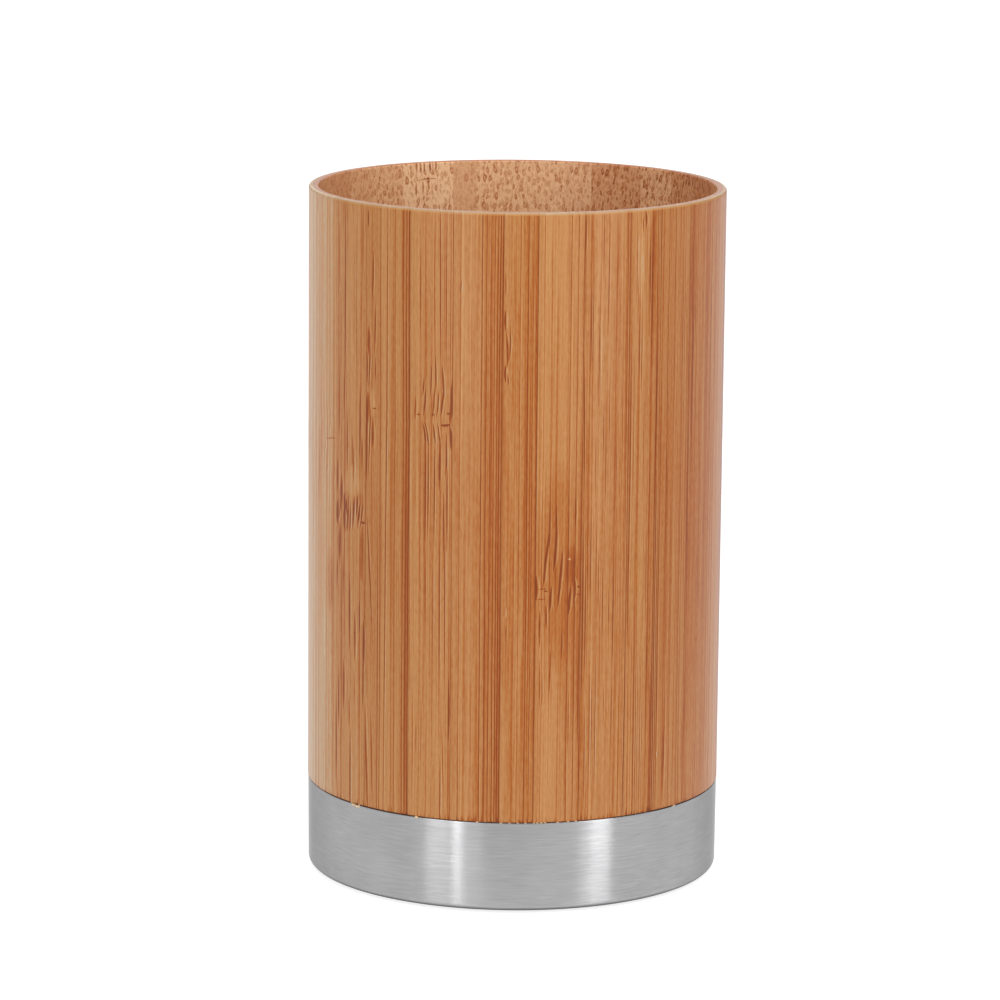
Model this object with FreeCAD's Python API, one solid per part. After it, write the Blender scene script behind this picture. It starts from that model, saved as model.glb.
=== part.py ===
"""Toothbrush tumbler: a thin two-ply bamboo tube glued into a drawn steel base cup.

Millimetres, +Z up. The origin is on the surface that the tumbler stands on, on its axis.
The front, which the strip list below starts from, faces -Y.
"""
import FreeCAD
import Part
import math
import os

# Overall sizes
OUTER_DIAMETER = 66.0
OVERALL_HEIGHT = 110.0

# Bamboo wall: edge-glued strips outside, a bias-cut sleeve inside
OUTER_PLY = 0.6
INNER_PLY = 0.9
GLUE_LINE = 0.03
RIM_ROUND_OUTSIDE = 0.4
RIM_ROUND_INSIDE = 0.3
SLEEVE_SEAM = 0.15

# Strips of the outer ply: the widths that show at the front, left to right, and the standard width
FRONT_STRIP_WIDTHS = (7.5, 7.8, 8.6, 7.2, 7.8, 5.3, 7.2, 7.8, 6.0, 7.0, 7.2)
STRIP_WIDTH = 7.5
FRONT_LEFT_EDGE_DEG = -71.0

# Steel base cup, drawn from one sheet
BASE_HEIGHT = 14.2
BASE_SHEET = 0.5
BASE_SET_BACK = 0.05
BASE_LEAN = 0.08
BASE_CORNER = 0.9
LIP_ROUND = 0.15
STAND_RING_WIDTH = 4.0
RECESS_DEPTH = 0.8
RECESS_SLOPE = 0.8

# Where the tube sits in the cup
JOINT_GAP = 0.15
SPIGOT_CLEARANCE = 0.05
SPIGOT_LEAD_IN = 0.2

# Floor board inside the tube and foam pad under the cup
FLOOR_THICKNESS = 3.0
FLOOR_CLEARANCE = 0.1
FLOOR_CHAMFER = 0.4
PAD_PROUD = 0.4
PAD_CLEARANCE = 1.0

# A round or chamfer takes at most this share of the wall that it is on
EDGE_SHARE = 0.75

# Radii worked out from the sizes above
outer_radius = OUTER_DIAMETER / 2
ply_radius = outer_radius - OUTER_PLY
sleeve_radius = ply_radius - GLUE_LINE
bore_radius = sleeve_radius - INNER_PLY
lip_radius = outer_radius - BASE_SET_BACK
foot_radius = lip_radius - BASE_LEAN
spigot_radius = foot_radius - BASE_SHEET - SPIGOT_CLEARANCE
recess_mouth_radius = foot_radius - BASE_CORNER - STAND_RING_WIDTH
recess_radius = recess_mouth_radius - RECESS_SLOPE

# Heights worked out from the sizes above
stand_height = PAD_PROUD
lip_height = stand_height + BASE_HEIGHT
shoulder_height = lip_height + JOINT_GAP
cup_floor_height = stand_height + BASE_SHEET
plateau_height = cup_floor_height + RECESS_DEPTH

UP = FreeCAD.Vector(0, 0, 1)
AXIS_FOOT = FreeCAD.Vector(0, 0, 0)
FRONT_DEG = -90.0


def edge_round(size, wall):
    """The size of a round or chamfer, held to its share of the wall."""
    return min(size, EDGE_SHARE * wall)


def rounded_corner(before, corner, after, radius):
    """The arc that rounds a corner, with its two ends. Both ends are the corner where it stays sharp."""
    if radius <= 0:
        return None, corner, corner
    back = (before - corner).normalize()
    ahead = (after - corner).normalize()
    half_angle = back.getAngle(ahead) / 2
    reach = radius / math.tan(half_angle)
    inward = (back + ahead).normalize()
    crown = corner + inward * (radius / math.sin(half_angle) - radius)
    start = corner + back * reach
    end = corner + ahead * reach
    return Part.Arc(start, crown, end).toShape(), start, end


def half_section(corners):
    """A face in the XZ plane from (radius, height, round) corners in order."""
    points = [FreeCAD.Vector(radius, 0, height) for radius, height, _ in corners]
    count = len(points)
    rounded = []
    for index, (_, _, radius) in enumerate(corners):
        before = points[index - 1]
        after = points[(index + 1) % count]
        rounded.append(rounded_corner(before, points[index], after, radius))
    edges = []
    for index, (arc, _, end) in enumerate(rounded):
        if arc is not None:
            edges.append(arc)
        next_start = rounded[(index + 1) % count][1]
        edges.append(Part.LineSegment(end, next_start).toShape())
    return Part.Face(Part.Wire(edges))


def turned(corners, start_deg=0.0, sweep_deg=360.0):
    """A solid of revolution about the axis, or a sector of one."""
    solid = half_section(corners).revolve(AXIS_FOOT, UP, sweep_deg)
    solid.rotate(AXIS_FOOT, UP, start_deg)
    return solid


def degrees_along(length, radius):
    """The angle that a length takes up along a circle."""
    return math.degrees(length / radius)


def strip_widths():
    """The widths of all strips round the wall: those at the front, then equal ones that close the ring."""
    rest = 2 * math.pi * outer_radius - sum(FRONT_STRIP_WIDTHS)
    rest_count = max(1, round(rest / STRIP_WIDTH))
    return list(FRONT_STRIP_WIDTHS) + [rest / rest_count] * rest_count


def outer_strips():
    """The upright strips of the outer ply, from the rim down to the shoulder above the steel lip."""
    rim_round = edge_round(RIM_ROUND_OUTSIDE, OUTER_PLY)
    section = [
        (ply_radius, shoulder_height, 0),
        (outer_radius, shoulder_height, 0),
        (outer_radius, OVERALL_HEIGHT, rim_round),
        (ply_radius, OVERALL_HEIGHT, 0),
    ]
    glue_deg = degrees_along(GLUE_LINE, outer_radius)
    left_deg = FRONT_DEG + FRONT_LEFT_EDGE_DEG
    strips = []
    for width in strip_widths():
        sweep_deg = degrees_along(width, outer_radius)
        strips.append(turned(section, left_deg + glue_deg / 2, sweep_deg - glue_deg))
        left_deg += sweep_deg
    return strips


def inner_sleeve():
    """The rolled inner ply, butted at the front. Its foot is turned down to a spigot with a lead-in."""
    foot_height = cup_floor_height + GLUE_LINE
    cup_inner_corner = max(BASE_CORNER - BASE_SHEET, 0)
    lead_in = edge_round(cup_inner_corner + SPIGOT_LEAD_IN, spigot_radius - bore_radius)
    section = [
        (bore_radius, foot_height, 0),
        (spigot_radius - lead_in, foot_height, 0),
        (spigot_radius, foot_height + lead_in, 0),
        (spigot_radius, shoulder_height, 0),
        (sleeve_radius, shoulder_height, 0),
        (sleeve_radius, OVERALL_HEIGHT, 0),
        (bore_radius, OVERALL_HEIGHT, edge_round(RIM_ROUND_INSIDE, INNER_PLY)),
    ]
    seam_deg = degrees_along(SLEEVE_SEAM, bore_radius)
    return turned(section, FRONT_DEG + seam_deg / 2, 360.0 - seam_deg)


def base_cup():
    """The drawn steel cup: leaning wall, rounded corner, stand ring and a floor raised over a recess."""
    slope = math.atan2(RECESS_DEPTH, RECESS_SLOPE)
    sheet_shift = BASE_SHEET * math.tan(slope / 2)
    lip_round = edge_round(LIP_ROUND, BASE_SHEET / 2)
    inner_corner = max(BASE_CORNER - BASE_SHEET, 0)
    section = [
        (0, stand_height + RECESS_DEPTH, 0),
        (recess_radius, stand_height + RECESS_DEPTH, 0),
        (recess_mouth_radius, stand_height, 0),
        (foot_radius, stand_height, BASE_CORNER),
        (lip_radius, lip_height, lip_round),
        (lip_radius - BASE_SHEET, lip_height, lip_round),
        (foot_radius - BASE_SHEET, cup_floor_height, inner_corner),
        (recess_mouth_radius + sheet_shift, cup_floor_height, 0),
        (recess_radius + sheet_shift, plateau_height, 0),
        (0, plateau_height, 0),
    ]
    return turned(section)


def floor_board():
    """The round board that closes the tube, standing on the cup's raised floor."""
    radius = bore_radius - FLOOR_CLEARANCE
    underside = plateau_height + GLUE_LINE
    top = underside + FLOOR_THICKNESS
    chamfer = edge_round(FLOOR_CHAMFER, FLOOR_THICKNESS)
    section = [
        (0, underside, 0),
        (radius, underside, 0),
        (radius, top - chamfer, 0),
        (radius - chamfer, top, 0),
        (0, top, 0),
    ]
    return turned(section)


def foot_pad():
    """The foam disc stuck in the recess, which the tumbler stands on."""
    radius = recess_radius - PAD_CLEARANCE
    section = [
        (0, stand_height - PAD_PROUD, 0),
        (radius, stand_height - PAD_PROUD, 0),
        (radius, stand_height + RECESS_DEPTH, 0),
        (0, stand_height + RECESS_DEPTH, 0),
    ]
    return turned(section)


def main():
    os.makedirs("parts", exist_ok=True)
    nodes = {
        "inner_sleeve": inner_sleeve(),
        "base_cup": base_cup(),
        "floor_board": floor_board(),
        "foot_pad": foot_pad(),
    }
    for number, strip in enumerate(outer_strips(), start=1):
        nodes[f"outer_strip_{number:02d}"] = strip
    for name, solid in nodes.items():
        solid.exportStep(f"parts/{name}.step")
        print(f"{name}: {solid.Volume:.1f} mm3, {'valid' if solid.isValid() else 'NOT VALID'}")


main()
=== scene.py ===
# %% [markdown]
# # A bamboo toothbrush tumbler on a steel base
# The real tumbler is a thin tube of upright bamboo slats, lined with a second bamboo ply and glued into a
# brushed steel cup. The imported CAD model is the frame: it gives every piece its size and place, in metres,
# and this lesson gives each piece its surface and its finish.

# %% Load the frame
import math
import random
from collections import namedtuple

import bmesh
import bpy
from mathutils import Matrix, Vector


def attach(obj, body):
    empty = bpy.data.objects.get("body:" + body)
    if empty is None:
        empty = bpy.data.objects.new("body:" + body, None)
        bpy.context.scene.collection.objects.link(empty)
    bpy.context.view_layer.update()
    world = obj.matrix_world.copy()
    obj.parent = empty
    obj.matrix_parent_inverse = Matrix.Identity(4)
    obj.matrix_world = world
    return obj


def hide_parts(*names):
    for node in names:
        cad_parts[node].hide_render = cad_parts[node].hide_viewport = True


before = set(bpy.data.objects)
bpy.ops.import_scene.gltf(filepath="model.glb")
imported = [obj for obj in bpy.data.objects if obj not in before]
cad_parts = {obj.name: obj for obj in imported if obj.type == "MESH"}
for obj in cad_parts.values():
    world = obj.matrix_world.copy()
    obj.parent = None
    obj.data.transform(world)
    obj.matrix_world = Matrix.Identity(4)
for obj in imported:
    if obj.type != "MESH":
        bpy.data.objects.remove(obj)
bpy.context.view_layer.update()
MM = 0.001

# %% [markdown]
# ## Small helpers
# Colours are chosen as sRGB hex values, as a paint chart gives them, while shader sockets take linear
# light, so one function converts. One function adds a node to any tree, with its operation, its settings,
# its links and the stops of a colour ramp, which keeps long trees readable. One starts a group with named
# sockets, one starts a material, and one puts a finished mesh into the scene.


# %% Helpers
def linear(hex_colour):
    """The linear RGBA of an sRGB hex colour such as #C08850, by the standard's curve."""
    channels = [int(hex_colour[start:start + 2], 16) / 255 for start in (1, 3, 5)]
    light = [c / 12.92 if c <= 0.04045 else ((c + 0.055) / 1.055) ** 2.4 for c in channels]
    return (*light, 1.0)


def feed(tree, node, inputs):
    """Links or fills a node's inputs, given in order or by name. A node gives its first live output."""
    pairs = inputs.items() if isinstance(inputs, dict) else enumerate(inputs)
    for key, value in pairs:
        if isinstance(value, bpy.types.Node):
            value = next(socket for socket in value.outputs if socket.enabled)
        if isinstance(value, bpy.types.NodeSocket):
            tree.links.new(value, node.inputs[key])
        else:
            node.inputs[key].default_value = value


def add(tree, kind, inputs=(), stops=(), **settings):
    """Adds a node, sets its properties, feeds its inputs and places the stops of a ramp."""
    kind, *operation = kind.split()
    node = tree.nodes.new(kind)
    if operation:
        node.operation = operation[0]
    for name, value in settings.items():
        setattr(node, name, value)
    feed(tree, node, inputs)
    for number, (position, colour) in enumerate(stops):
        ramp = node.color_ramp.elements
        stop = ramp[number] if number < 2 else ramp.new(1.0)
        stop.position = position
        stop.color = colour
    return node


def start_group(name, kind, inputs, outputs):
    """A new node group with named sockets, given as name and type, and the sockets that feed it."""
    group = bpy.data.node_groups.new(name, kind)
    for in_out, sockets in (("INPUT", inputs), ("OUTPUT", outputs)):
        for socket, socket_kind in sockets.items():
            group.interface.new_socket(socket, in_out=in_out, socket_type="NodeSocket" + socket_kind)
    return group, add(group, "NodeGroupInput").outputs


def start_material(name, values):
    """A new material, its tree and its shader, which has the given values on its own sockets."""
    material = bpy.data.materials.new(name)
    material.use_nodes = True
    tree = material.node_tree
    shader = tree.nodes["Principled BSDF"]
    feed(tree, shader, values)
    return material, tree, shader


def show(name, mesh):
    """Links a mesh into the scene as a piece at the origin."""
    piece = bpy.data.objects.new(name, mesh)
    bpy.context.scene.collection.objects.link(piece)
    return piece


# Kinds of node, the common sums with their operation
PLUS = "ShaderNodeMath ADD"
MINUS = "ShaderNodeMath SUBTRACT"
TIMES = "ShaderNodeMath MULTIPLY"
OVER = "ShaderNodeMath DIVIDE"
TIMES_PLUS = "ShaderNodeMath MULTIPLY_ADD"
STRETCH = "ShaderNodeVectorMath MULTIPLY"
MATH = "ShaderNodeMath"
VECTOR_MATH = "ShaderNodeVectorMath"
MAP_RANGE = "ShaderNodeMapRange"
COMBINE = "ShaderNodeCombineXYZ"
SEPARATE = "ShaderNodeSeparateXYZ"
NOISE = "ShaderNodeTexNoise"
RAMP = "ShaderNodeValToRGB"
print("a middle tone of bamboo in linear light:", [round(c, 3) for c in linear("#A46E3E")])

# %% [markdown]
# ## The camera
# The tumbler is seen through a long lens from a little above the rim. Distance, height and roll were found
# by matching the ellipses of the rim, the joint and the foot, and the lens is in pixels of the 1000-pixel
# frame.

# %% Camera
FRAME_PIXELS = 1000
FOCAL_PIXELS = 4973.5
AXIS_PIXEL = (514.6, 524.1)
SENSOR_WIDTH = 36
CAMERA_DISTANCE = 796.2 * MM
CAMERA_ELEVATION = math.radians(11.296)
CAMERA_ROLL = math.radians(0.555)
AIM = Vector((0, 0, 55.4 * MM))
NEAREST, FARTHEST = 0.01, 20

camera_data = bpy.data.cameras.new("camera")
camera_data.sensor_width = SENSOR_WIDTH
camera_data.lens = FOCAL_PIXELS / FRAME_PIXELS * SENSOR_WIDTH
camera_data.shift_x = 0.5 - AXIS_PIXEL[0] / FRAME_PIXELS
camera_data.shift_y = AXIS_PIXEL[1] / FRAME_PIXELS - 0.5
camera_data.clip_start = NEAREST
camera_data.clip_end = FARTHEST
camera = bpy.data.objects.new("camera", camera_data)
bpy.context.scene.collection.objects.link(camera)
back = Vector((0, -math.cos(CAMERA_ELEVATION), math.sin(CAMERA_ELEVATION)))
turn = Matrix((Vector((1, 0, 0)), back.cross(Vector((1, 0, 0))), back)).transposed()
turn = turn @ Matrix.Rotation(CAMERA_ROLL, 3, "Z")
camera.matrix_world = Matrix.Translation(AIM + back * CAMERA_DISTANCE) @ turn.to_4x4()
bpy.context.scene.camera = camera
print("camera lens:", round(camera_data.lens, 2), "mm")

# %% [markdown]
# ## Floor and room
# A white floor under lamps would carry a hard shadow, so the tumbler stands on an opal table that glows.
# Its light makes the white background, and it reaches the wall from below and from all sides, which gives
# the pale edges where the lacquer turns away from the eye. The room round it is dim and even, a trace
# brighter behind.

# %% Floor and room
FLOOR_HALF = 3.0
TABLE_COLOUR = "#A8A8A8"
TABLE_ROUGHNESS = 0.9
TABLE_GLOSS = 0.1
TABLE_GLOW = 0.84
WHITE = linear("#FFFFFF")
floor_mesh = bpy.data.meshes.new("floor")
corners = [(-FLOOR_HALF, -FLOOR_HALF, 0), (FLOOR_HALF, -FLOOR_HALF, 0)]
corners += [(FLOOR_HALF, FLOOR_HALF, 0), (-FLOOR_HALF, FLOOR_HALF, 0)]
floor_mesh.from_pydata(corners, [], [(0, 1, 2, 3)])
floor = show("floor", floor_mesh)

opal, *_ = start_material("opal light table", {
    "Base Color": linear(TABLE_COLOUR),
    "Roughness": TABLE_ROUGHNESS,
    "Specular IOR Level": TABLE_GLOSS,
    "Emission Color": WHITE,
    "Emission Strength": TABLE_GLOW,
})
floor_mesh.materials.append(opal)

BRIGHT_SIDE = math.radians(30)
BACK_LIGHT = 0.28
FRONT_LIGHT = 0.26
ROOM_BLEND = (0.1, 0.7)
world = bpy.data.worlds.new("studio")
bpy.context.scene.world = world
world.use_nodes = True
sky = world.node_tree
sky.nodes.clear()
bright_axis = (-math.sin(BRIGHT_SIDE), math.cos(BRIGHT_SIDE), 0)
view = add(sky, "ShaderNodeTexCoord").outputs["Generated"]
backness = add(sky, VECTOR_MATH, [view, bright_axis], operation="DOT_PRODUCT").outputs["Value"]
strength = add(sky, MAP_RANGE, [backness, *ROOM_BLEND, FRONT_LIGHT, BACK_LIGHT],
               interpolation_type="SMOOTHSTEP")
glow = add(sky, "ShaderNodeBackground", {"Color": WHITE, "Strength": strength})
add(sky, "ShaderNodeOutputWorld", {"Surface": glow})
print("floor:", 2 * FLOOR_HALF, "m wide, glowing at", TABLE_GLOW)

# %% [markdown]
# ## Soft boxes
# Brushed steel draws every lamp out into an upright band, so the lamps are placed by what the steel shows.
# Two low boxes in front make its two bright bands, and dimmer reflectors beside them make the bands' soft
# shoulders. A broad box above lights the wood, a high panel its right flank, and panels behind light the
# mouth, the far rim and the back. An azimuth is counted from the camera's side towards +X.

# %% Soft boxes
LAMPS = {
    # name: azimuth in degrees, height, distance, width and length in metres, watts
    "left soft box": (-29.8, 0.22, 0.9, 0.075, 0.4, 0.84),
    "left reflector": (-41, 0.22, 0.9, 0.20, 0.4, 0.84),
    "left fill": (-22, 0.22, 0.9, 0.20, 0.4, 0.30),
    "left back panel": (-140, 0.25, 0.8, 0.4, 0.5, 0.22),
    "right soft box": (49.2, 0.22, 0.9, 0.195, 0.4, 1.58),
    "right reflector": (40, 0.22, 0.9, 0.09, 0.4, 0.24),
    "right high panel": (75, 0.9, 0.7, 0.8, 0.6, 2.1),
    "top soft box": (0, 1.1, 0.55, 2.1, 0.8, 12.5),
    "back panel": (180, 0.5, 1.5, 1.1, 0.6, 2.4),
    "back high panel": (180, 1.1, 0.6, 0.5, 0.5, 3.0),
}
for name, (azimuth_deg, height, distance, width, length, watts) in LAMPS.items():
    lamp = bpy.data.lights.new(name, "AREA")
    lamp.shape = "RECTANGLE"
    lamp.size = width
    lamp.size_y = length
    lamp.energy = watts
    azimuth = math.radians(azimuth_deg)
    place = Vector((math.sin(azimuth) * distance, -math.cos(azimuth) * distance, height))
    box = bpy.data.objects.new(name, lamp)
    facing = (place - Vector((0, 0, AIM.z))).to_track_quat("Z", "Y")
    box.matrix_world = Matrix.Translation(place) @ facing.to_matrix().to_4x4()
    bpy.context.scene.collection.objects.link(box)
bpy.context.scene.view_settings.view_transform = "Standard"
print("lamps:", len(LAMPS), "with", round(sum(row[-1] for row in LAMPS.values()), 2), "W")

# %% [markdown]
# ## Bamboo: one scale of tones
# The slats are carbonised bamboo: steamed until the sugar in them browns, then sanded and lacquered. A pale
# slat, a toasted one, a dark fibre and an inky knot mark are all steps of the same browning. Colours could
# be mixed layer by layer, but they would drift apart, so the finish adds up one number, the tone, from
# everything that darkens or lightens a spot, and a single ramp turns it to colour. The lacquer is satin, so
# it shows the lights as soft, pale sheets.

# %% Tones of bamboo
BAMBOO_TONES = [
    (0.00, linear("#DDBB90")),
    (0.10, linear("#A98D6D")),
    (0.20, linear("#B17F4E")),
    (0.40, linear("#A46E3E")),
    (0.55, linear("#9B5822")),
    (0.70, linear("#8E4512")),
    (0.85, linear("#743310")),
    (1.00, linear("#4A230F")),
]
LACQUER_ROUGHNESS = 0.34
LACQUER_IOR = 1.5
LACQUER_GLOSS = 0.2
GROOVE_DEPTH = 0.02 * MM
GROOVE_STRENGTH = 0.6


def bamboo_material(name, tones, tone_of):
    """A lacquered bamboo material. tone_of gets the tree and returns the sockets of tone and groove."""
    material, tree, shader = start_material(name, {
        "Roughness": LACQUER_ROUGHNESS, "IOR": LACQUER_IOR, "Specular IOR Level": LACQUER_GLOSS})
    tone, groove = tone_of(tree)
    colour = add(tree, RAMP, [tone], stops=tones)
    bump = add(tree, "ShaderNodeBump", invert=True, inputs={
        "Height": groove, "Distance": GROOVE_DEPTH, "Strength": GROOVE_STRENGTH})
    feed(tree, shader, {"Base Color": colour, "Normal": bump})
    return material


print("bamboo tones:", len(BAMBOO_TONES))

# %% [markdown]
# ## Bamboo: fibres
# Bamboo has no growth rings. Its long fibre bundles run up the slat as fine lines, some whole, some as
# dashes where the cut leaves the bundle, and they bend round a knot. The pattern lives in the slat's own
# millimetres: the attribute "grain" holds the distance across the slat, the seed of the slat and the
# height. A wave pattern would make the lines too even. Noise that is stretched far along the height gives
# fine fibres, broad tones, lines and dashes, and a shorter one the pores. Real pores are about 0.1 mm wide,
# too fine to show, so they are drawn wider.

# %% Fibre group
# Cells of the patterns: width and length in millimetres
FINE_FIBRE = (0.20, 16.0)
PORE = (0.26, 1.2)
BROAD_TONE = (1.6, 90.0)
LONG_LINE = (0.32, 110.0)
DASH = (0.30, 15.0)
KNOT_CURL = (2.2, 3.6)
FIBRE_DRIFT = (4.0, 45.0)
# How far fibres drift, how far above and below it a knot bends them, and how pores and threads count
DRIFT_WIDTH = 0.35
KNOT_REACH = 6.0
PORE_SHARE = 0.8
DARK_THREAD = (0.58, 0.68, 0.0, 1.0)
PALE_THREAD = (0.38, 0.28, 0.0, 0.6)
MIDDLE = 0.5


def fibre_pattern(tree, place, cell, detail=1.0):
    """Noise whose cell has a width and a length in millimetres, from a vector of across, seed, height."""
    share = (1 / cell[0], 1.0, 1 / cell[1])
    scaled = add(tree, STRETCH, [place, share])
    return add(tree, NOISE, {"Vector": scaled, "Scale": 1.0, "Detail": detail}).outputs[0]


def fibre_group():
    """Fibres in a slat's own millimetres: bent near its knot, then fine, broad, in lines and in dashes."""
    inputs = {"Grain": "Vector", "Seed": "Float", "Knot Height": "Float", "Knot Curl": "Float"}
    outputs = dict.fromkeys(("Across", "Height", "Fine", "Broad", "Lines", "Dashes"), "Float")
    group, given = start_group("bamboo fibres", "ShaderNodeTree", inputs, outputs)
    place = add(group, SEPARATE, [given["Grain"]]).outputs
    seeded = add(group, COMBINE, [place["X"], given["Seed"], place["Z"]])
    off_knot = add(group, MINUS, [place["Z"], given["Knot Height"]])
    off_knot = add(group, OVER, [off_knot, KNOT_REACH])
    off_knot = add(group, TIMES, [off_knot, off_knot])
    off_knot = add(group, TIMES, [off_knot, -1.0])
    near_knot = add(group, MATH, [off_knot], operation="EXPONENT")
    curl = add(group, MINUS, [fibre_pattern(group, seeded, KNOT_CURL), MIDDLE])
    curl = add(group, TIMES, [curl, near_knot])
    drift = add(group, MINUS, [fibre_pattern(group, seeded, FIBRE_DRIFT), MIDDLE])
    across = add(group, TIMES_PLUS, [drift, DRIFT_WIDTH, place["X"]])
    across = add(group, TIMES_PLUS, [curl, given["Knot Curl"], across])
    bent = add(group, COMBINE, [across, given["Seed"], place["Z"]])
    pores = add(group, MINUS, [fibre_pattern(group, bent, PORE, 2.0), MIDDLE])
    fine = fibre_pattern(group, bent, FINE_FIBRE, 2.0)
    threads = []
    for cell in (LONG_LINE, DASH):
        waves = fibre_pattern(group, bent, cell)
        dark = add(group, MAP_RANGE, [waves, *DARK_THREAD])
        pale = add(group, MAP_RANGE, [waves, *PALE_THREAD])
        threads.append(add(group, MINUS, [dark, pale]))
    add(group, "NodeGroupOutput", {
        "Across": across,
        "Height": place["Z"],
        "Fine": add(group, TIMES_PLUS, [pores, PORE_SHARE, fine]),
        "Broad": fibre_pattern(group, bent, BROAD_TONE),
        "Lines": threads[0],
        "Dashes": threads[1],
    })
    return group


FIBRES = fibre_group()
print("fibre group:", len(FIBRES.nodes), "nodes")

# %% [markdown]
# ## Bamboo: single marks
# The eye knows this tumbler by its single marks: a dark comma, a slanting streak, the brush of short
# strokes at a knot. Noise can't put those in place, so a small group draws one: a stroke from a foot to a
# head, thickest in the middle, pointed at both ends, bowed if asked. An upright fine stroke gets a painted
# highlight on its right, a pale edge where the cut fibre would catch the light. Marks chain, each adding
# its darkness to the tone so far.

# %% Mark group
Mark = namedtuple("Mark", "upright start end line_start line_end bow width depth")
# A stroke is full dark out to its core, and its painted highlight lies beyond it, both in half widths
STROKE_CORE = 0.2
EDGE_PLACE = 1.5
EDGE_FADE = (0.1, 0.8)
# How pale the painted highlight beside a fine upright stroke is, as a step in tone
PAINTED_EDGE_HIGHLIGHT = 0.45
FINE_MARK = 0.5
INK_LIMIT = 0.66
INK_RISE = 3.2
POINT_WIDTH = 1e-4


def ink(depth):
    """A stroke's darkness as a step in tone. Faint strokes keep their strength and strong ones level off."""
    return math.copysign(INK_LIMIT * (1 - math.exp(-INK_RISE * abs(depth))), depth)


def mark(across, foot, head, width, depth, lean=0.0, bow=0.0):
    """An upright stroke: millimetres from the slat's left edge, heights, half width, darkness."""
    return Mark(True, foot, head, across, across + lean, bow, width, depth)


def tick(height, left, right, width, depth, rise=0.0, bow=0.0):
    """A stroke that runs across the slat, from left to right at a height."""
    return Mark(False, left, right, height, height + rise, bow, width, depth)


def mark_group():
    """Adds one pointed stroke to a tone. It swells as 4 s (1 - s), where s runs from its start to its end."""
    names = ("Tone", "Beside", "Along", "Start", "End", "Line Start", "Line End", "Bow", "Width", "Depth",
             "Edge")
    inputs = dict.fromkeys(names, "Float")
    group, given = start_group("bamboo mark", "ShaderNodeTree", inputs, {"Tone": "Float"})
    share = add(group, MAP_RANGE, [given["Along"], given["Start"], given["End"], 0.0, 1.0], clamp=False)
    rest = add(group, MINUS, [4.0, add(group, TIMES, [share, 4.0])])
    swell = add(group, TIMES, [share, rest])
    swell = add(group, MATH, [swell, 0.0], operation="MAXIMUM")
    line = [given["Line Start"], given["Line End"]]
    middle = add(group, MAP_RANGE, [share, 0.0, 1.0, *line], clamp=False)
    middle = add(group, TIMES_PLUS, [swell, given["Bow"], middle])
    offset = add(group, MINUS, [given["Beside"], middle])
    taper = add(group, MATH, [swell], operation="SQRT")
    half = add(group, TIMES_PLUS, [taper, given["Width"], POINT_WIDTH])
    ratio = add(group, OVER, [offset, half])
    from_middle = add(group, MATH, [ratio], operation="ABSOLUTE")
    dark = add(group, MAP_RANGE, [from_middle, STROKE_CORE, 1.0, 1.0, 0.0], interpolation_type="SMOOTHSTEP")
    # The pale edge beyond the stroke is a painted highlight
    from_edge = add(group, MINUS, [ratio, EDGE_PLACE])
    from_edge = add(group, MATH, [from_edge], operation="ABSOLUTE")
    pale = add(group, MAP_RANGE, [from_edge, *EDGE_FADE, given["Edge"], 0.0], interpolation_type="SMOOTHSTEP")
    stroke = add(group, MINUS, [dark, pale])
    stroke = add(group, TIMES, [stroke, taper])
    tone = add(group, TIMES_PLUS, [stroke, given["Depth"], given["Tone"]])
    add(group, "NodeGroupOutput", [tone])
    return group


def draw_marks(tree, tone, across, height, marks):
    """Chains marks on a tone."""
    for stroke in marks:
        beside, along = (across, height) if stroke.upright else (height, across)
        tone = add(tree, "ShaderNodeGroup", node_tree=MARK, inputs={
            "Tone": tone,
            "Beside": beside,
            "Along": along,
            "Start": stroke.start,
            "End": stroke.end,
            "Line Start": stroke.line_start,
            "Line End": stroke.line_end,
            "Bow": stroke.bow,
            "Width": stroke.width,
            "Depth": ink(stroke.depth),
            "Edge": PAINTED_EDGE_HIGHLIGHT if stroke.upright and stroke.width < FINE_MARK else 0.0,
        })
    return tone


MARK = mark_group()
print("mark group:", len(MARK.nodes), "nodes")

# %% [markdown]
# ## Bamboo: the front slats
# Each slat comes from another culm, so each has a recipe: its tone across the width, its long dark lines,
# its marks, its knot, and how many dashes it has. A painted picture could hold these too, but a recipe
# stays sharp up close and is changed by editing a number. Sizes are millimetres from the slat's left edge
# and heights above the table. Tones and depths are steps on the scale above, and a negative depth is a pale
# mark.

# %% What a recipe holds
Slat = namedtuple("Slat", "shade lines marks knot dashes fall")
Knot = namedtuple("Knot", "height curl")
NO_KNOT = Knot(0.0, 0.0)
FRONT_SLATS = []


def slat(shade, lines=(), marks=(), knot=NO_KNOT, dashes=0.2, fall=0.0):
    """A recipe. shade: (mm, tone). lines: (mm, half width, depth). fall: tone lost from foot to rim."""
    return Slat(shade, lines, marks, knot, dashes, fall)


print("a recipe holds", Slat._fields)

# %% [markdown]
# ### Slats 1 and 2
# The first is pale, with a fine check across it. The second has a knot at mid-height: a soft stain and a
# brush of short strokes that lean together, with scattered dashes above and below.

# %% Slats 1 and 2
FRONT_SLATS.append(slat(
    shade=[(0.0, 0.105), (1.2, 0.18), (2.0, 0.105), (3.0, 0.18), (3.8, 0.105), (5.0, 0.2), (5.8, 0.11),
           (6.6, 0.2), (7.5, 0.17)],
    lines=[(1.0, 0.3, 0.14), (2.3, 0.25, 0.12), (4.3, 0.25, 0.16), (5.4, 0.2, 0.14), (6.6, 0.25, 0.16)],
    marks=[
        tick(71.7, 3.8, 7.4, 0.2, 0.24, rise=0.6), mark(0.25, 106.8, 109.6, 0.45, 0.2),
        mark(3.2, 65, 80, 0.3, 0.16, bow=0.3), mark(2.2, 66, 82, 0.35, 0.14, bow=-0.3),
        mark(4.6, 60, 72, 0.25, 0.14), mark(5.6, 44, 55, 1.6, 0.12), mark(1.2, 60, 74, 0.8, 0.1),
    ],
    knot=Knot(71.5, 1.2),
))
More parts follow.
